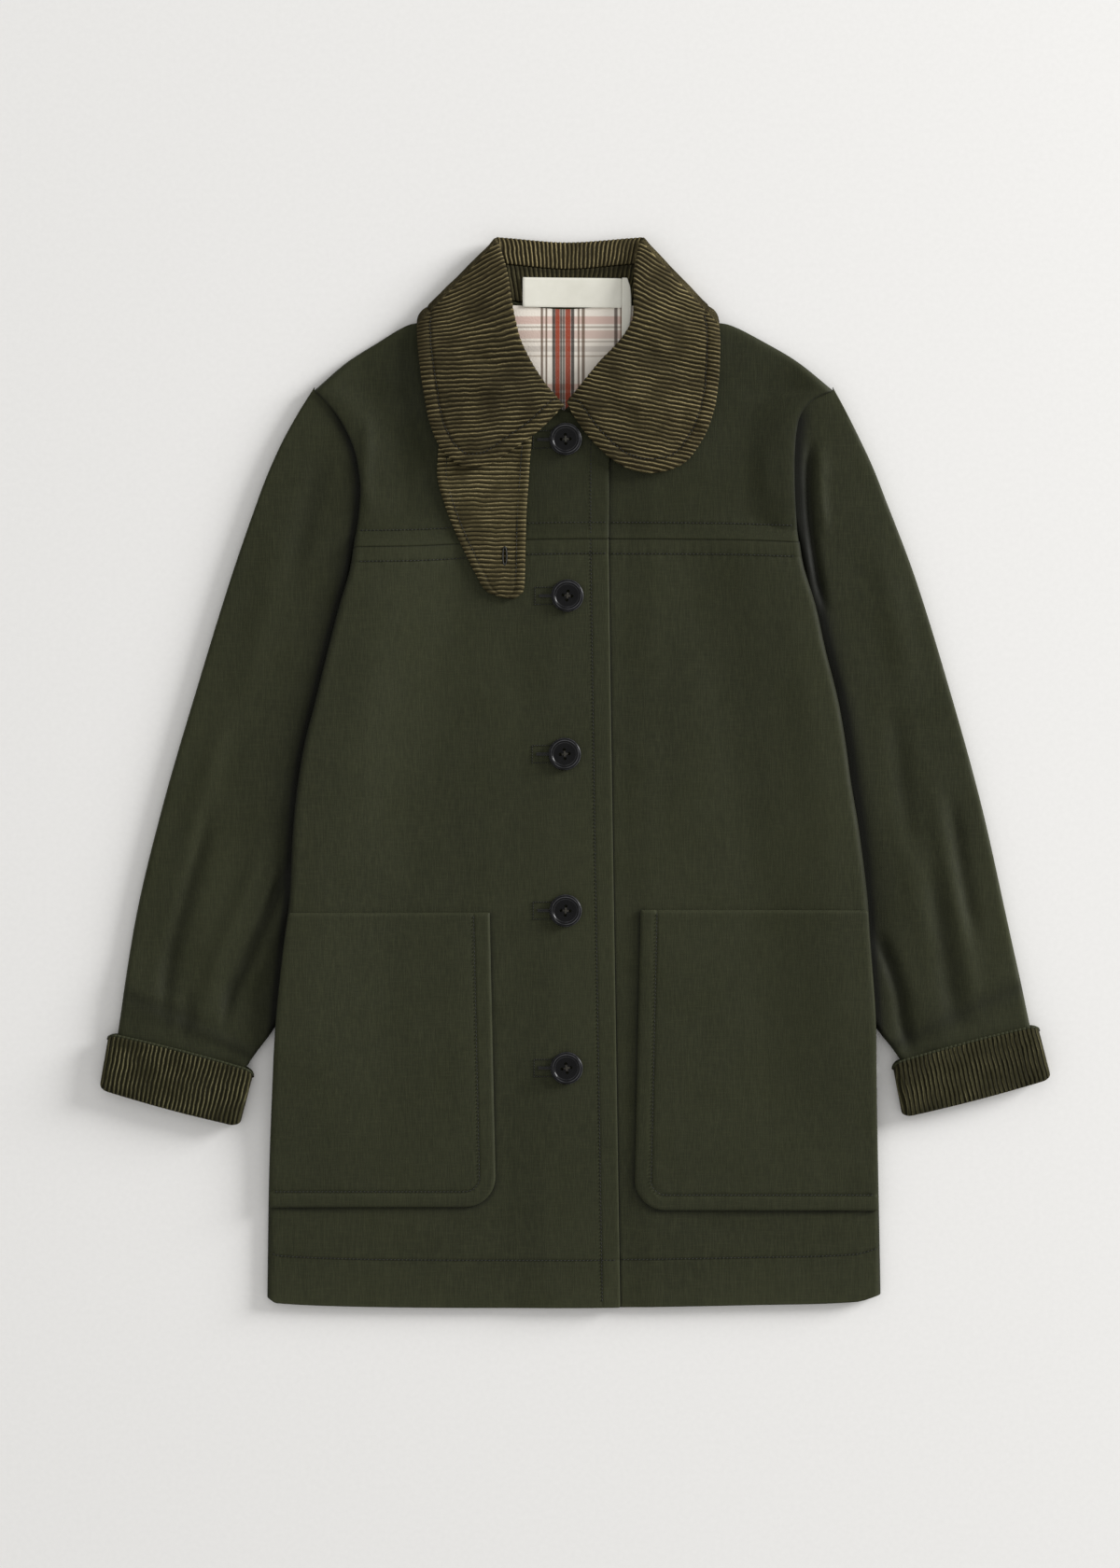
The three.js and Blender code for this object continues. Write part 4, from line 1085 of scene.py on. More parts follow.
def back_panel():
    half = np.concatenate([np.array(ROUND_EDGE) / 472, np.linspace(0.02, 0.5, 34)])
    us = np.concatenate([half, (1 - half)[::-1][1:]])
    vs = np.concatenate([np.linspace(0, 0.985, 130), [0.99, 0.994, 0.997, 0.999, 1]])
    u, v = grid_of(us, vs)
    side_y = mix(-403, 292, v)
    sides = sample(BODY_SIDES, side_y)
    inset = 8.5 * smooth(ARMPIT_Y - 12, ARMPIT_Y + 22, side_y) * (1 - smooth(270, 292, side_y) * 0.6)
    x = mix(sides[..., 0] + inset, sides[..., 1] - inset, u)
    hem_x = mix(HEM[0][0], HEM[-1][0], u)
    shoulder_x = mix(SHOULDERS[0][0], SHOULDERS[-1][0], u)
    y = mix(column(HEM, hem_x) + 2, column(SHOULDERS, shoulder_x) - 1, v)
    ground = back_ground(x, y)
    d = np.minimum(x - sides[..., 0], sides[..., 1] - x)
    fold = fold_height(x, y) - FOLD_GAP / 2
    height = mix(mix(ground, fold, closed_side(y)), ground, rim(d, FOLD_RADIUS))
    z = mix(shoulder_height(x, y) - FOLD_GAP / 2 - 0.6, height, rim((1 - v) * 690, FOLD_RADIUS))
    under = np.stack([x, y, z], -1)[:, ::-1]
    wear_and_highlight = bell(y + 405, 6)[:, ::-1]
    obj = shell("shell_back", under, inner_face(under, PANEL_WALL, False), WAXED, {"wear_and_highlight": wear_and_highlight})
    declare(obj, ["back_panel"], "waxed_cotton", *CUTS["back_panel"])


# Sleeves and cuffs
def arm_tuck(y):
    """How far the sleeve's inner edge lies in from the body's side."""
    near = mix(4, 0.4, 1 - smooth(ARMPIT_Y + 8, ARMPIT_Y + 50, y)) * smooth(ARMPIT_Y - 2, ARMPIT_Y, y)
    return near + SLEEVE_TUCK * (1 - smooth(ARMPIT_Y - 75, ARMPIT_Y, y))


def sleeve_plan(side):
    """The sleeve's x, y from armhole to cuff and from its outer to its tucked inner edge."""
    edge, inward = FRONTS[side]["edge"], FRONTS[side]["inward"]
    outer = route(SLEEVE_OUTER[side])
    cuff_ends = CUFF_ENDS[side]
    inside_top = (cuff_ends[1][0] - inward * CUFF_CLEAR, cuff_ends[1][1])
    inside_low = (cuff_ends[2][0] - inward * CUFF_CLEAR, cuff_ends[2][1] + 8)
    tucked = [(float(column(BODY_SIDES, y, edge)) + inward * float(arm_tuck(y)), y)
              for y in (ARMPIT_Y, 130, 95, 50, 0, -50, -100, -150)]
    inner = route(tucked + [(mix(tucked[-1][0], inside_top[0], 0.35), -190), inside_top, inside_low])

    def armhole(t):
        t = np.asarray(t, float)
        y = mix(SLEEVE_TOP_Y, ARMPIT_Y, t)
        body = column(BODY_SIDES, y, edge) + inward * arm_tuck(y) * smooth(0.02, 0.15, t)
        return np.stack([mix(outer(0.0)[0], body, smooth(0, 0.02, t)), y], -1)

    def end(t):
        return mix(outer(1.0), inner(1.0), np.asarray(t, float)[..., None])

    return coons(armhole, end, outer, inner)


def sleeve_height(s, t):
    """The sleeve's thickness at s along it and t across it, less where the body lies on it."""
    full = mix(SLEEVE_INNER_STACK + 1.6, SLEEVE_STACK, smooth(0.05, 0.2, s))
    return mix(full, SLEEVE_INNER_STACK, smooth(0.62, 0.86, t)) - 0.8 * smooth(0.85, 0.95, s)


def cuff_lift(s):
    """The sleeve's rise into the cuff, over the corduroy under it."""
    return (CORD_WALL + LAY_GAP) * smooth(0.8, 0.89, s)


def sleeve(side):
    plan = sleeve_plan(side)
    edge = np.array([0, 0.0008, 0.003, 0.007, 0.012, 0.02, 0.03, 0.045])
    over = np.concatenate([edge, np.linspace(0.06, 0.94, 62), (1 - edge)[::-1]])
    under = over[1:-1][::-1]
    stations = np.concatenate([np.linspace(0, 0.8, 120), np.linspace(0.8, 1, 40)[1:]])

    def half_tube(inset, t, up):
        s_grid, t_grid = grid_of(stations, t)
        ends = plan(s_grid, np.zeros_like(t_grid)), plan(s_grid, np.ones_like(t_grid))
        width = np.linalg.norm(ends[1] - ends[0], axis=-1)
        share = mix(inset / width, 1 - inset / width, t_grid)
        place = plan(s_grid, share)
        full = sleeve_height(s_grid, share)
        edge_share = rim(np.minimum(t_grid, 1 - t_grid) * width, 4)
        half = (full / 2 - inset) * edge_share
        z = cuff_lift(s_grid) + full / 2 + (half if up else -half)
        if up:
            fade = edge_share * (1 - smooth(0.9, 0.97, s_grid))
            z += crease_height(side, place[..., 0], place[..., 1]) * fade
            bunch = 0.5 * np.sin(s_grid * 190 + 4 * t_grid) * bell(s_grid - CUFF_MOUTH, 0.02)
            z += bunch * edge_share
        return np.concatenate([place, z[..., None]], -1)

    def whole_tube(inset):
        return np.concatenate([half_tube(inset, over, True), half_tube(inset, under, False)], 1)

    face, inner = whole_tube(0), whole_tube(SLEEVE_WALL)
    x, y = face[..., 0], face[..., 1]
    folds = crease_height(side, x, y)
    # Paler along the fold rims and the armhole end and on crease ridges: painted highlight.
    wear_and_highlight = bell(np.concatenate([over, under]), 0.03)[None, :] * 0.5
    wear_and_highlight = np.clip(wear_and_highlight + bell(stations, 0.012)[:, None] * 0.6, 0, 1)
    wear_and_highlight = wear_and_highlight + 0.12 * np.clip(folds, 0, 3)
    # The dark layer here is painted shade: the shadow of the body's edge on the sleeve, broad shade beside
    # the body, crease troughs and the mouth of the cuff.
    body = column(BODY_SIDES, y, FRONTS[side]["edge"])
    outside = np.maximum(FRONTS[side]["inward"] * (body - x), 0)
    reach = 4.6 + 3.2 * smooth(-180, 20, y) if side == "left" else 4.6
    seam = 1.2 * bell(outside, reach) * (1 - smooth(265, 290, y)) * smooth(-262, -225, y)
    seam += 0.3 * bell(outside, 17) * (1 - smooth(180, 270, y))
    seam += 0.13 * np.clip(-folds, 0, 3)
    seam = seam + 0.35 * bell(stations[:, None] - CUFF_MOUTH, 0.012)
    layers = marks(wear_and_highlight, seam)
    if side == "left":
        face, inner = face[:, ::-1], inner[:, ::-1]
        layers = {key: values[:, ::-1] for key, values in layers.items()}
    obj = shell("shell_sleeve_" + side, face, inner, WAXED_SLEEVE, layers, wrap=True)
    declare(obj, ["sleeve_" + side], "waxed_cotton", *CUTS["sleeve"])


def cuff(side):
    top_outer, top_inner, low_inner, low_outer = [np.array(p, float) for p in CUFF_ENDS[side]]
    width = np.linalg.norm(top_inner - top_outer)
    wales = round(width / WALE_PITCH)
    over = np.linspace(0, 1, wales * CUFF_STEPS + 1)
    under = np.concatenate([[0.004, 0.012, 0.025, 0.045], np.linspace(0.08, 0.92, 22),
                            [0.955, 0.975, 0.988, 0.996]])[::-1]
    stations = np.array([0, 0.012, 0.03, 0.06, 0.1, 0.3, 0.5, 0.7, 0.9, 0.94, 0.97, 0.988, 1])

    def half_tube(t, up, inset):
        s, tt = grid_of(stations, t)
        share = mix(inset / width, 1 - inset / width, tt)[..., None]
        from_fold = np.minimum(tt, 1 - tt) * width
        bow = 0.03 * np.sin(math.pi * tt) * (2 * s - 1)
        down = (mix(0.5, s, mix(0.8, 1, rim(from_fold, 8))) + bow)[..., None]
        place = mix(mix(top_outer, top_inner, share), mix(low_outer, low_inner, share), down)
        full = mix(*CUFF_FULL, s)
        edge = rim(from_fold, 6.4)
        end = rim(np.minimum(s, 1 - s) * CUFF_DEPTH, 1.6)
        half = (full / 2 - inset) * edge
        if inset == 0:
            half = half - 1.0 * (1 - end)
            if up:
                half = half - 0.55 * (1 - wale_height(tt * wales)) * np.clip(edge * 2, 0, 1)
                half = half + 0.35 * np.sin(s * 3 + tt * 9) * edge * end
        z = full / 2 + (half if up else -half)
        if not up:
            z = np.maximum(z, inset)
        return np.concatenate([place, z[..., None]], -1)

    def whole_tube(inset):
        return np.concatenate([half_tube(over, True, inset), half_tube(under, False, inset)], 1)

    face, inner = whole_tube(0), whole_tube(CORD_WALL)
    wale = np.full(face.shape[:2], 0.5)
    wale[:, :len(over)] = over * wales
    # The dark layer here is painted shade: a line where the cuff's end laps over and a band near its lower
    # edge.
    seam = np.zeros(face.shape[:2])
    mirrored = side == "left"
    if mirrored:
        face, inner, wale = face[:, ::-1], inner[:, ::-1], wale[:, ::-1]
    seam[:, :len(over)] = 0.9 * bell(over - CUFF_LAP[side], 0.006)
    seam += 0.6 * bell(stations - 0.95, 0.03)[:, None]
    if mirrored:
        seam = seam[:, ::-1]
    obj = shell("shell_cuff_" + side, face, inner, CORD_CUFF, {"wale": wale, "seam": seam}, wrap=True)
    declare(obj, ["cuff_" + side], "corduroy", (2 * width + 14, 43), 0.0101)
    edging(side, face)


def edging(side, face):
    """The narrow waxed edge that shows above the turned-back corduroy."""
    line = face[0] + (face[0] - face[3]) * 0.15
    tube("cuff_edge_" + side, line, 1.1, WAXED_SLEEVE, closed=True, squash=0.8)


def tube(name, line, radius, material, closed=False, sides=8, squash=1.0):
    """A round bead of cloth or thread along a line."""
    line = np.asarray(line, float)
    ahead = np.roll(line, -1, axis=0) if closed else np.vstack([line[1:], line[-1]])
    behind = np.roll(line, 1, axis=0) if closed else np.vstack([line[0], line[:-1]])
    along = unit(ahead - behind)
    side = np.cross(along, [0, 0, 1.0])
    weak = np.linalg.norm(side, axis=1) < 0.2
    side[weak] = np.cross(along[weak], [0, 1.0, 0])
    side = unit(side)
    up = np.cross(side, along)
    angles = np.arange(sides) * 2 * math.pi / sides
    rings = line[:, None] + radius * (side[:, None] * np.cos(angles)[None, :, None]
                                      + up[:, None] * squash * np.sin(angles)[None, :, None])
    index = np.arange(len(line) * sides).reshape(-1, sides)
    index = np.column_stack([index, index[:, 0]])
    if closed:
        index = np.vstack([index, index[0]])
    faces = quads(index).tolist()
    if not closed:
        faces += [list(range(sides))[::-1], [int(i) for i in index[-1, :-1]]]
    wear_and_highlight = np.full(len(line) * sides, 0.5)
    declare(new_object(name, rings.reshape(-1, 3), faces, material, {"wear_and_highlight": wear_and_highlight}), [], "waxed_cotton")


# Collar, stand and tab
def collar_point(u, v):
    """The middle of the collar's cloth at u along the neck and v from neck to outer edge."""
    row = sample(COLLAR, u)
    neck, roll, outer = row[..., 0:3], row[..., 3:6], row[..., 6:9]

    def near(a, b):
        gap = np.linalg.norm(a[..., :2] - b[..., :2], axis=-1)
        return np.minimum(0.42, 9 / np.maximum(gap, 1))

    behind = np.where((outer[..., 2] < roll[..., 2] - 2) & (roll[..., 2] < 9), -1.0, 1.0)
    bulge = behind * 1.6 * smooth(0, 0.08, np.minimum(u, 1 - u))

    def between(a, b, t, z):
        t = np.asarray(t)[..., None] if np.ndim(t) else t
        point = mix(a, b, t)
        point[..., 2] += z
        return point

    keys = COLLAR_KEYS
    last = len(keys) - 1
    places = [
        neck,
        between(roll, neck, near(roll, neck) * 1.6, -bulge * 1.1),
        roll,
        between(roll, outer, near(roll, outer), bulge),
        between(roll, outer, 0.6, bulge * 0.5),
        outer,
    ]
    values = np.stack(places)
    result = np.zeros(values.shape[1:])
    for i in range(last):
        before, after = max(i - 1, 0), min(i + 2, last)
        slope_a = (values[i + 1] - values[before]) / (keys[i + 1] - keys[before])
        slope_b = (values[after] - values[i]) / (keys[after] - keys[i])
        span = keys[i + 1] - keys[i]
        t = np.clip((v - keys[i]) / span, 0, 1)[..., None]
        part = hermite(t, span, values[i], values[i + 1], slope_a, slope_b)
        inside = (v >= keys[i]) & ((v < keys[i + 1]) | (i == last - 1))
        result = np.where(inside[..., None], part, result)
    return result


def even_along(line_v, start, end, count):
    """u values evenly spaced along the collar's line at v."""
    u = np.linspace(start, end, 1500)
    reach = reach_along(collar_point(u, np.full_like(u, line_v)))
    return np.interp(np.linspace(0, reach[-1], count), reach, u), reach[-1]


def wale_height(phase):
    """1 on the middle of a wale and 0 between two."""
    return 1 - 4 * (phase - np.floor(phase) - 0.5) ** 2


def petal_wales(u, x, y):
    """The distance across the wales of the turned-down collar, which keep to the grain of each side."""
    right = y - 0.55 * smooth(300, 400, y) * (x + 85) - 0.08 * (1 - smooth(270, 330, y)) * (x + 60)
    left = y + (0.2 + 0.4 * smooth(320, 400, y)) * (x - 75)
    return np.where(u < 0.5, right, left)


def collar():
    c, _ = even_along(0.75, *COLLAR_ENDS, 601)
    vs = np.concatenate([np.linspace(STAND_END + 0.012, 0.40, 5), [0.42, 0.435, 0.4498],
                         np.linspace(0.4502, 0.95, 76), np.linspace(0.955, 0.985, 8),
                         [0.99, 0.993, 0.996, 0.998, 1]])
    u, v = grid_of(c, vs)
    middle = collar_point(u, v)
    normal = normals_of(middle)
    x, y = middle[..., 0], middle[..., 1]
    roll, roll_length = even_along(ROLL_AT, *COLLAR_ENDS, 400)
    along_roll = np.interp(u, roll, np.linspace(0, roll_length, 400))
    petal = np.maximum(1 - smooth(0.435, 0.455, u), smooth(0.545, 0.565, u)) * (v > ROLL_AT)
    phase = mix(along_roll, petal_wales(u, x, y), petal) / WALE_PITCH
    from_edge = np.full(x.shape, 99.0)
    for start, end in ((0.004, 0.447), (0.553, 0.996)):
        share = np.linspace(start, end, 130)
        gap, _ = line_distance(collar_point(share, np.ones_like(share))[:, :2], x, y)
        from_edge = np.where(v > ROLL_AT, np.minimum(from_edge, gap), from_edge)
    from_edge = np.where(v > 0.999, 0, from_edge)
    # Darker along the stitch row's groove: painted shade.
    seam = bell(from_edge - COLLAR_STITCH, 1.2)
    curl = 0.5 * bell(from_edge - 4.5, 3.5)
    fall = np.clip((v - ROLL_AT) / 0.55, 0, 1)
    ruffle = 0.3 * np.sin(u * 140) * smooth(0.7, 1.0, fall) + 0.25 * np.sin(u * 61 + 2) * fall
    folds = crease_height("collar", x, y) * smooth(0, 0.15, fall)
    edge = mix(0.55, 1, rim(from_edge, 2.2))
    out = CORD_WALL / 2 * edge - 0.5 * (1 - wale_height(phase)) * edge - 0.7 * seam
    lift = (ruffle + curl + folds)[..., None] * normal
    upper = middle + normal * out[..., None] + lift
    lower = middle - normal * (CORD_WALL / 2 * edge)[..., None] + lift
    for face in (upper, lower):
        face[..., 2] = np.maximum(face[..., 2], 0.05)
    obj = shell("shell_collar", upper, lower, CORD, {"wale": phase, "seam": seam}, coarse=4)
    declare(obj, ["collar"], "corduroy", *CUTS["collar"])
    for start, end in ((0.02, 0.43), (0.57, 0.98)):
        inset_row(upper, from_edge, v, c, start, end)


def inset_row(upper, from_edge, v, c, start, end):
    """A row of stitches a set distance inside the collar's edge."""
    line = []
    for n in np.nonzero((c > start) & (c < end))[0][::3]:
        reach = from_edge[n, :]
        inside = (v[n, :] > 0.47) & (reach < COLLAR_STITCH + 4)
        if inside.sum() < 3 or reach[inside].max() < COLLAR_STITCH:
            continue
        first = np.nonzero(inside)[0]
        k = first[np.argmin(np.abs(reach[first] - COLLAR_STITCH))]
        line.append(upper[n, k])
    stitch_row(np.array(line), lift=0.2)


def collar_stand():
    """The ribbed band inside the neck, where it shows behind the label."""
    _, length = even_along(0.1, *STAND_ENDS, 10)
    wales = round(length / WALE_PITCH)
    c, _ = even_along(0.1, *STAND_ENDS, wales * STAND_STEPS + 1)
    vs = np.linspace(0.01, STAND_END - 0.006, 14)
    cc, vv = grid_of(c, vs)
    middle = collar_point(cc, vv)
    phase = np.tile((np.arange(len(c)) / STAND_STEPS)[:, None], (1, len(vs)))
    upper = middle + np.array([0, 0, STAND_RISE + 0.2])
    upper[..., 2] -= 0.5 * (1 - wale_height(phase))
    lower = middle + np.array([0, 0, STAND_RISE - STAND_WALL])
    # Darker towards the roll: painted shade under the turned-down collar.
    seam = smooth(0.19, STAND_END - 0.02, vv)
    obj = shell("shell_stand", lower, upper, CORD_INNER, {"wale": phase, "seam": seam})
    declare(obj, ["collar_stand"], "corduroy", *CUTS["collar_stand"])


def throat_tab():
    low, high = TAB_EDGES[0][0], TAB_EDGES[-1][0]
    wales = round((high - low) / WALE_PITCH)
    y = np.linspace(low, high, wales * TAB_STEPS + 1)
    shares = np.concatenate([[0, 0.01, 0.025, 0.05, 0.08], np.linspace(0.12, 0.88, 26),
                             [0.92, 0.95, 0.975, 0.99, 1]])
    yy, share = grid_of(y, shares)
    edges = sample(TAB_EDGES, yy)
    x = mix(edges[..., 0], edges[..., 1], share)
    inside = np.minimum(share, 1 - share) * (edges[..., 1] - edges[..., 0])
    base = upper_top(x, yy) + LAY_GAP
    phase = np.tile((np.arange(len(y)) / TAB_STEPS)[:, None], (1, len(shares)))
    row = bell(inside - TAB_STITCH, 1.0)
    hole_x, hole_y = TAB_HOLE
    hole = bell(x - hole_x, 0.9) * smooth(0, 1.5, yy - (hole_y - TAB_HOLE_HALF))
    hole = hole * smooth(0, 1.5, hole_y + TAB_HOLE_HALF - yy)
    wave = 0.5 * np.sin(yy / 21) * np.sin(share * 3.1) + 0.5 * np.sin(yy / 11 + share * 2)
    curl = 0.5 * bell(inside - 3, 3)
    top = base + 0.5 + wave + curl + 2.3 * mix(0.6, 1, rim(inside, 1.6))
    top -= 0.55 * (1 - wale_height(phase)) + 0.45 * row + 1.5 * hole
    upper = np.stack([x, yy, top], -1)
    lower = np.stack([x, yy, np.maximum(base, base + 0.5 + wave + curl)], -1)
    # Darker in the stitch groove and the buttonhole's slit: painted shade.
    seam = np.clip(0.7 * row + 1.6 * hole, 0, 1.6)
    obj = shell("shell_throat_tab", upper, lower, CORD_TAB, {"wale": phase, "seam": seam})
    declare(obj, ["throat_tab"], "corduroy", *CUTS["throat_tab"])
    for side, sign in ((0, 1), (1, -1)):
        ys = np.linspace(146, 250, 120)
        xs = column(TAB_EDGES, ys, side) + sign * TAB_STITCH
        stitch_row(np.stack([xs, ys, upper_top(xs, ys) + LAY_GAP + 2.6], -1))
    keyhole(hole_x, hole_y, TAB_HOLE_HALF)


def keyhole(x, y, half):
    """A worked buttonhole: close stitches round an upright slit."""
    angles = np.linspace(0, 2 * math.pi, 60)
    z = float(upper_top(np.array(x), np.array(y))) + LAY_GAP + 2.9
    line = np.stack([x + 1.5 * np.cos(angles), y + half * np.sin(angles), np.full(60, z)], -1)
    tube("keyhole_edge", line[:-1], 0.55, THREAD, closed=True)


# Pockets
def pocket(side):
    is_right = side == "right"
    size, cut = POCKETS[side], FRONTS[side]
    low, top, corner = size["low"], size["top"], size["corner"]
    vs = np.concatenate([[0, 0.002, 0.006, 0.012, 0.02, 0.03, 0.042],
                         np.array(around(POCKET_STITCH)) / POCKET_LENGTH, [0.075, 0.09, 0.106],
                         np.linspace(0.12, 0.93, 44), [0.95, 0.965, 0.98, 0.99, 0.996, 1]])
    open_steps = [0, 0.4, 1, 2, 3.5, 5, 7] + around(POCKET_STITCH)
    side_steps = [0, 0.4, 1, 2, 3.2, 4.6, 6]
    y = mix(low, top, vs)
    inner = mix(size["inner_low"], size["inner_top"], vs)
    rise = corner - (y - low)
    curve = np.where(rise > 0, corner - np.sqrt(np.maximum(corner ** 2 - np.maximum(rise, 0) ** 2, 0)), 0)
    open_edge = inner - cut["inward"] * curve
    side_edge = column(BODY_SIDES, y, cut["edge"]) + cut["inward"] * POCKET_INSET
    if is_right:
        x = spread(side_steps, open_steps, 46)(side_edge, open_edge)
    else:
        x = spread(open_steps, side_steps, 46)(open_edge, side_edge)
    yy = np.broadcast_to(y, x.shape)
    base = np.stack([x, yy, front_height(side, x, yy)], -1)
    normal = normals_of(base)
    from_inner = np.abs(x - open_edge)
    from_low = yy - low
    from_top = top - yy
    near_corner = corner - np.hypot(np.maximum(corner - np.abs(x - inner), 0), np.maximum(rise, 0))
    in_corner = (np.abs(x - inner) < corner) & (rise > 0)
    from_edge = np.where(in_corner, near_corner, np.minimum(np.abs(x - inner), from_low))
    from_rim = np.minimum(from_edge, from_top)
    thick = POCKET_WALL * mix(0.5, 1, rim(from_rim, 1.8))
    thick += 0.2 * bell(from_edge - 4, 5)
    thick += sewn(from_edge - POCKET_STITCH, x + yy, 0.5, 1.2)
    belly = 0.8 * np.sin(math.pi * np.clip(from_top / POCKET_LENGTH, 0, 1)) ** 0.6 * smooth(0, 30, from_inner)
    mouth = 0.3 * bell(from_top - 3, 5)
    upper = base + normal * (POCKET_GAP + thick + belly + mouth)[..., None]
    lower = base + normal * POCKET_GAP
    wear_and_highlight = 0.22 * bell(from_rim, 1.6)
    wear_and_highlight += 0.35 * bell(from_edge - POCKET_STITCH + 2, 2.5)
    layers = marks(wear_and_highlight, stitch_mark(from_edge - POCKET_STITCH))
    obj = shell("shell_pocket_" + side, upper, lower, WAXED, layers)
    declare(obj, ["pocket_" + side], "waxed_cotton", *cut["pocket"])
    pocket_stitches(side)


def pocket_outline(side, inset):
    """The pocket's inner and lower edges, moved in by inset."""
    size = POCKETS[side]
    sign = -FRONTS[side]["inward"]
    corner = size["corner"]
    down = np.linspace(size["top"] - 2, size["low"] + corner, 100)
    share = (down - size["low"]) / (size["top"] - size["low"])
    line = [(mix(size["inner_low"], size["inner_top"], s) + sign * inset, y) for s, y in zip(share, down)]
    centre = (size["inner_low"] + sign * corner, size["low"] + corner)
    r = corner - inset
    for a in np.linspace(0, math.pi / 2, 16)[1:]:
        line.append((centre[0] - sign * r * math.cos(a), centre[1] - r * math.sin(a)))
    side_x = column(BODY_SIDES, size["low"], FRONTS[side]["edge"])
    for x in np.linspace(centre[0], side_x - sign * 5, 70)[1:]:
        line.append((x, size["low"] + inset))
    return line


def pocket_stitches(side):
    xs, ys = np.array(pocket_outline(side, POCKET_STITCH)).T
    points = on_front(side, xs, ys)
    points[:, 2] += POCKET_GAP + POCKET_WALL + 0.35
    stitch_row(points, lift=0.1)


# Neck lining and label
def flat_piece(name, x, y, z, wall, material):
    """A thin piece of even thickness under its upper face."""
    upper = np.stack([x, y, z], -1)
    return shell(name, upper, upper - np.array([0, 0, wall]), material)


def even_grid(columns, rows):
    return grid_of(np.linspace(0, 1, columns), np.linspace(0, 1, rows))


def lining():
    u, v = even_grid(34, 30)
    x = mix(mix(-48, -56, v), mix(35, 45, v), u)
    y = mix(258, 358, v)
    wave = 0.35 * np.sin(x / 9 + 1) * np.sin(y / 14)
    z = back_top(x, y) + LAY_GAP + LINING_WALL + wave
    obj = flat_piece("shell_lining", x, y, z, LINING_WALL, FLANNEL)
    declare(obj, ["lining_neck"], "flannel_lining", *CUTS["lining_neck"], rests_on=["shell_back"])


def collar_surface(x, y):
    """The height of the stand's middle at x, y."""
    u = np.clip(mix(0.47, 0.53, (x + 48) / 85), 0, 1)
    foot = collar_point(u, np.zeros_like(u))
    roll = collar_point(u, np.full_like(u, 0.3))
    t = np.clip((y - foot[..., 1]) / (roll[..., 1] - foot[..., 1]), 0, 1)
    return mix(foot[..., 2], roll[..., 2], t) + 0.9 * t


def label():
    """The label's band on the stand and its end, turned down onto the lining."""
    u, v = even_grid(40, 14)
    x = mix(-40, 35.5, u)
    y = mix(356.6, 378.6, v) + (1 - u) * 0.8
    z = collar_surface(x, y) + STAND_RISE + LAY_GAP + 0.15 * np.sin(x / 11) + LABEL_WALL
    obj = flat_piece("shell_label", x, y, z, LABEL_WALL, TAPE)
    declare(obj, ["neck_label"], "label_tape", *CUTS["neck_label"], rests_on=["shell_stand"])
    u, v = even_grid(8, 30)
    y = mix(LABEL_END[0][0], LABEL_END[-1][0], v)
    edges = sample(LABEL_END, y)
    x = mix(edges[..., 0], edges[..., 1], u)
    low = back_top(x, y) + 2 * LAY_GAP + LINING_WALL
    high = collar_surface(x, y) + STAND_RISE + LAY_GAP + 0.2
    z = mix(low, high, smooth(345, 360, y)) + LABEL_WALL
    end = flat_piece("shell_label_end", x, y, z, LABEL_WALL, TAPE)
    declare(end, ["label_end"], "label_tape", *CUTS["label_end"], rests_on=["shell_lining"])


# Buttons, their thread and buttonholes
def ring_points(radius, count):
    """Evenly spaced x, y on a circle."""
    turns = [2 * math.pi * k / count for k in range(count)]
    return [(radius * math.cos(a), radius * math.sin(a)) for a in turns]


def button_mesh():
    """A turned button with four holes cut through it."""
    bm = bmesh.new()
    rings = []
    for r, h in BUTTON_PROFILE:
        rings.append([bm.verts.new((x * MM, y * MM, h * BUTTON_HEIGHT * MM))
                      for x, y in ring_points(r * BUTTON_RADIUS, BUTTON_SEGMENTS)])
    for low, high in zip(rings, rings[1:]):
        for k in range(BUTTON_SEGMENTS):
            n = (k + 1) % BUTTON_SEGMENTS
            bm.faces.new((low[k], low[n], high[n], high[k]))
    bm.faces.new(rings[0][::-1])
    bm.faces.new(rings[-1])
    mesh = bpy.data.meshes.new("button_form")
    bm.to_mesh(mesh)
    bm.free()
    body = bpy.data.objects.new("button_form", mesh)
    bpy.context.scene.collection.objects.link(body)
    drills = []
    for x, y in ring_points(HOLE_REACH, BUTTON_HOLES):
        bpy.ops.mesh.primitive_cylinder_add(vertices=20, radius=HOLE_RADIUS * MM, depth=20 * MM,
                                            location=(x * MM, y * MM, BUTTON_HEIGHT / 2 * MM))
        drills.append(bpy.context.object)
    for drill in drills:
        cut = body.modifiers.new("hole", "BOOLEAN")
        cut.operation = "DIFFERENCE"
        cut.object = drill
        cut.solver = "EXACT"
    graph = bpy.context.evaluated_depsgraph_get()
    result = bpy.data.meshes.new_from_object(body.evaluated_get(graph))
    for obj in drills + [body]:
        bpy.data.objects.remove(obj)
    result.shade_smooth()
    result.set_sharp_from_angle(angle=math.radians(42))
    result.materials.clear()
    result.materials.append(BLACK)
    return result


def buttons():
    form = button_mesh()
    for n, (x, y, degrees) in enumerate(BUTTONS, 1):
        node = "button_%d" % n
        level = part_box(node)[0][2]
        turn = math.radians(degrees)
        obj = bpy.data.objects.new("shell_" + node, form.copy())
        bpy.context.scene.collection.objects.link(obj)
        obj.location = (x * MM, y * MM, level)
        obj.rotation_euler = (0, 0, turn)
        declare(obj, [node], "button_plastic")
        button_thread(n, x, y, level / MM, turn)
        buttonhole(n, x, y)


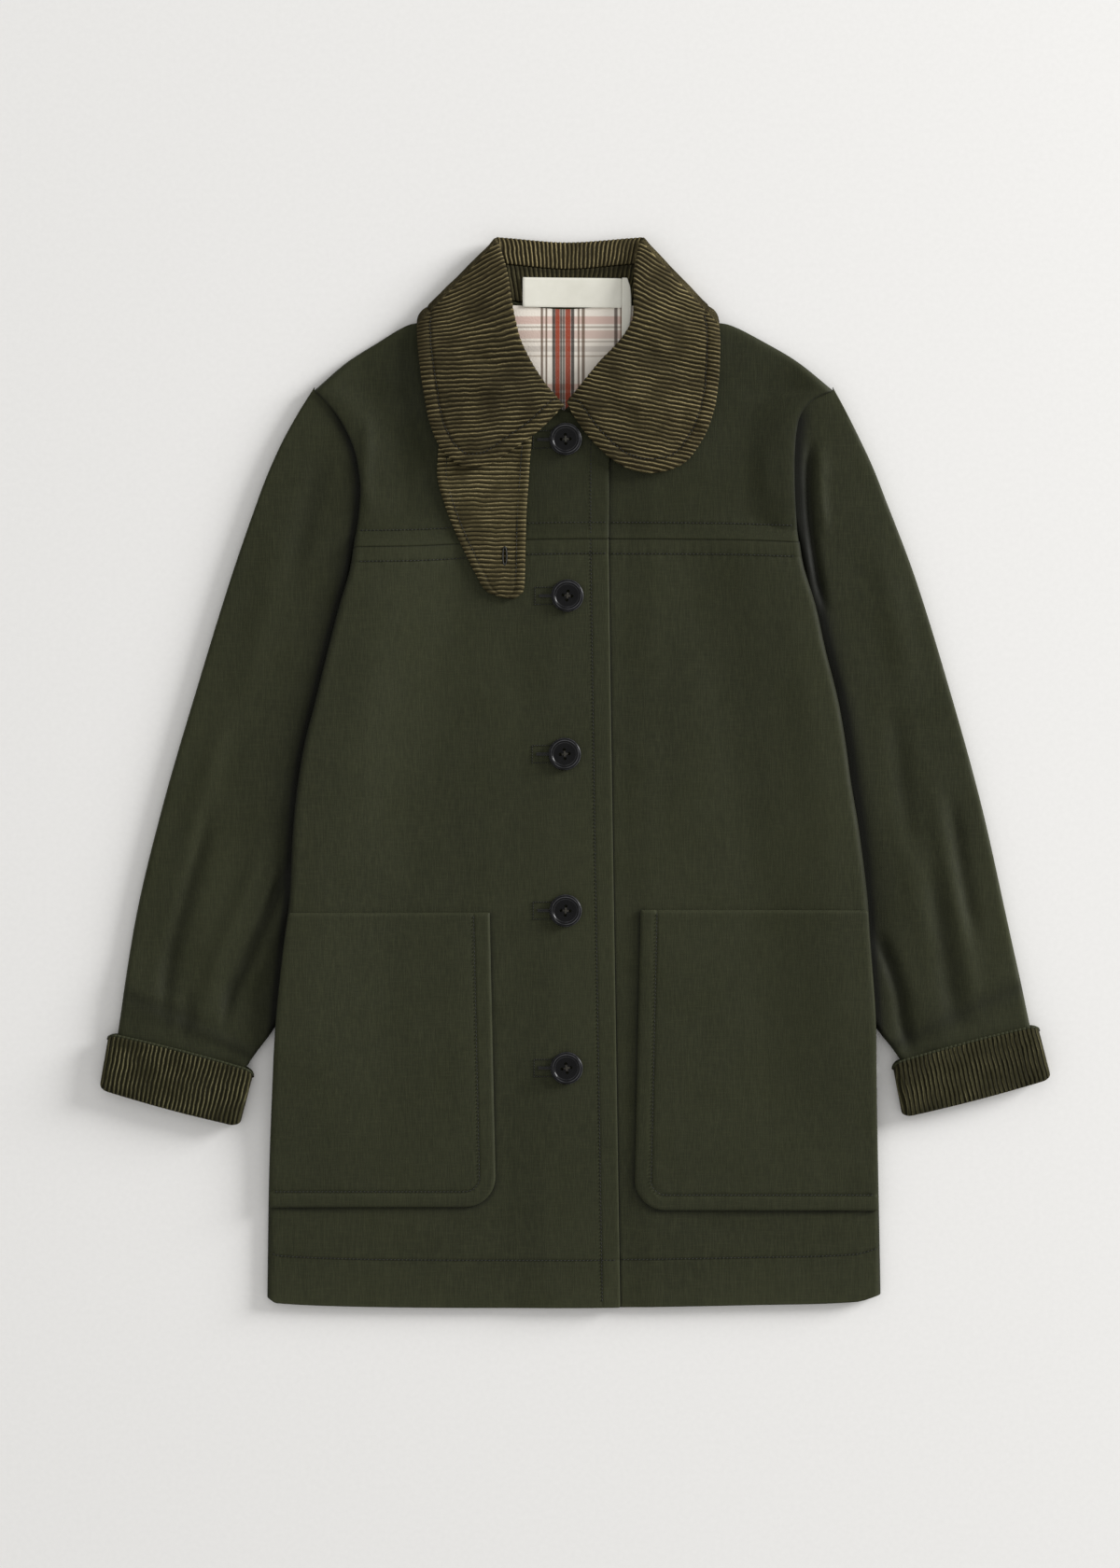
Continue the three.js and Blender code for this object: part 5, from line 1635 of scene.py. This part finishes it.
def button_thread(n, x, y, level, turn):
    """Two crossed strands of three threads, down into the holes at their ends."""
    t = np.linspace(-1.05, 1.05, 13)
    for strand in range(2):
        a = turn + strand * math.pi / 2
        dx, dy = HOLE_REACH * math.cos(a), HOLE_REACH * math.sin(a)
        shift = np.array([-math.sin(a), math.cos(a), 0]) * 0.5
        bend = 2.45 + 0.3 * strand - 1.6 * np.clip(np.abs(t) - 0.6, 0, 1) ** 0.8 * 4
        line = np.stack([x + dx * t, y + dy * t, level + bend], -1)
        for k in (-1, 0, 1):
            tube("thread_%d_%d%d" % (n, strand, k + 1), line + shift * k, 0.22, THREAD_PALE, sides=6)


def buttonhole(n, x, y):
    """A slit with worked edges in a small stitched box, left of its button; the slit is a dark bead of
    painted shade.
    """
    far, near, half = HOLE_BOX
    left, right = x - far, x - near
    box = [(right, y + half), (left, y + half), (left, y - half), (right, y - half)]
    corners = []
    for a, b in zip(box, box[1:]):
        for t in np.linspace(0, 1, 14)[:-1]:
            corners.append((mix(a[0], b[0], t), mix(a[1], b[1], t)))
    xs, ys = np.array(corners).T
    stitch_row(on_front("right", xs, ys), lift=0.38, pitch=2.0, length=1.8)
    for side in (-0.75, 0.75):
        points = on_front("right", np.linspace(left + 3.2, x - 6, 30), y + side)
        points[:, 2] += 0.35 + 0.08 * np.sin(np.arange(30) * 2.1)
        tube("buttonhole_%d_%d" % (n, int(side > 0)), points, 0.55, THREAD, squash=0.8)
    # A dark bead in the slit: painted shade in the cut.
    points = on_front("right", np.linspace(left + 3.4, x - 6, 12), y)
    points[:, 2] += 0.45
    tube("buttonhole_slit_%d" % n, points, 0.5, SLIT_SHADE_THREAD, sides=6, squash=0.7)


# Camera, floor and light, in metres and watts
CAMERA_PLACE = (-0.0115, -0.0097, 2.6)
CAMERA_LENS = 77.4
SENSOR_HEIGHT = 36
SKY_COLOUR = (1.0, 0.995, 0.985, 1)
SKY_STRENGTH = 0.6
KEY_PLACE = (6.6, 3.0, 2.0)
KEY_SIZE = 3.0
KEY_WATTS = 750
FLOOR_SIZE = 12
FLOOR_DROP = 0.0003


def add_object(name, data, place):
    obj = bpy.data.objects.new(name, data)
    obj.location = place
    bpy.context.scene.collection.objects.link(obj)
    return obj


def studio():
    scene = bpy.context.scene
    camera = bpy.data.cameras.new("camera")
    camera.sensor_fit = "VERTICAL"
    camera.sensor_height = SENSOR_HEIGHT
    camera.lens = CAMERA_LENS
    scene.camera = add_object("camera", camera, CAMERA_PLACE)
    scene.world = bpy.data.worlds.new("studio")
    scene.world.use_nodes = True
    sky = scene.world.node_tree.nodes["Background"]
    sky.inputs[0].default_value = SKY_COLOUR
    sky.inputs[1].default_value = SKY_STRENGTH
    light = bpy.data.lights.new("key", "AREA")
    light.shape = "DISK"
    light.size = KEY_SIZE
    light.energy = KEY_WATTS
    lamp = add_object("key", light, KEY_PLACE)
    lamp.rotation_euler = (-lamp.location).to_track_quat("-Z", "Y").to_euler()
    bpy.ops.mesh.primitive_plane_add(size=FLOOR_SIZE, location=(0, 0, -FLOOR_DROP))
    floor = bpy.context.object
    floor.name = "floor"
    tree = Tree("floor_paper")
    tone = tree.blend(tree.span(tree.noise(260, 4), 0.3, 0.7), *tones((239, 238, 236), (242, 241, 239)))
    floor.data.materials.append(tree.finish(tone, {"Roughness": 0.9, "Specular IOR Level": 0.1}))
    scene.view_settings.view_transform = "Standard"


studio()
back_panel()
for wearer_side in ("right", "left"):
    front_panel(wearer_side)
    yoke(wearer_side)
    sleeve(wearer_side)
    cuff(wearer_side)
    pocket(wearer_side)
collar()
collar_stand()
throat_tab()
lining()
label()
buttons()
sewing = stitch_mesh("topstitching", STITCHES, THREAD)
declare(sewing, [], "waxed_cotton")
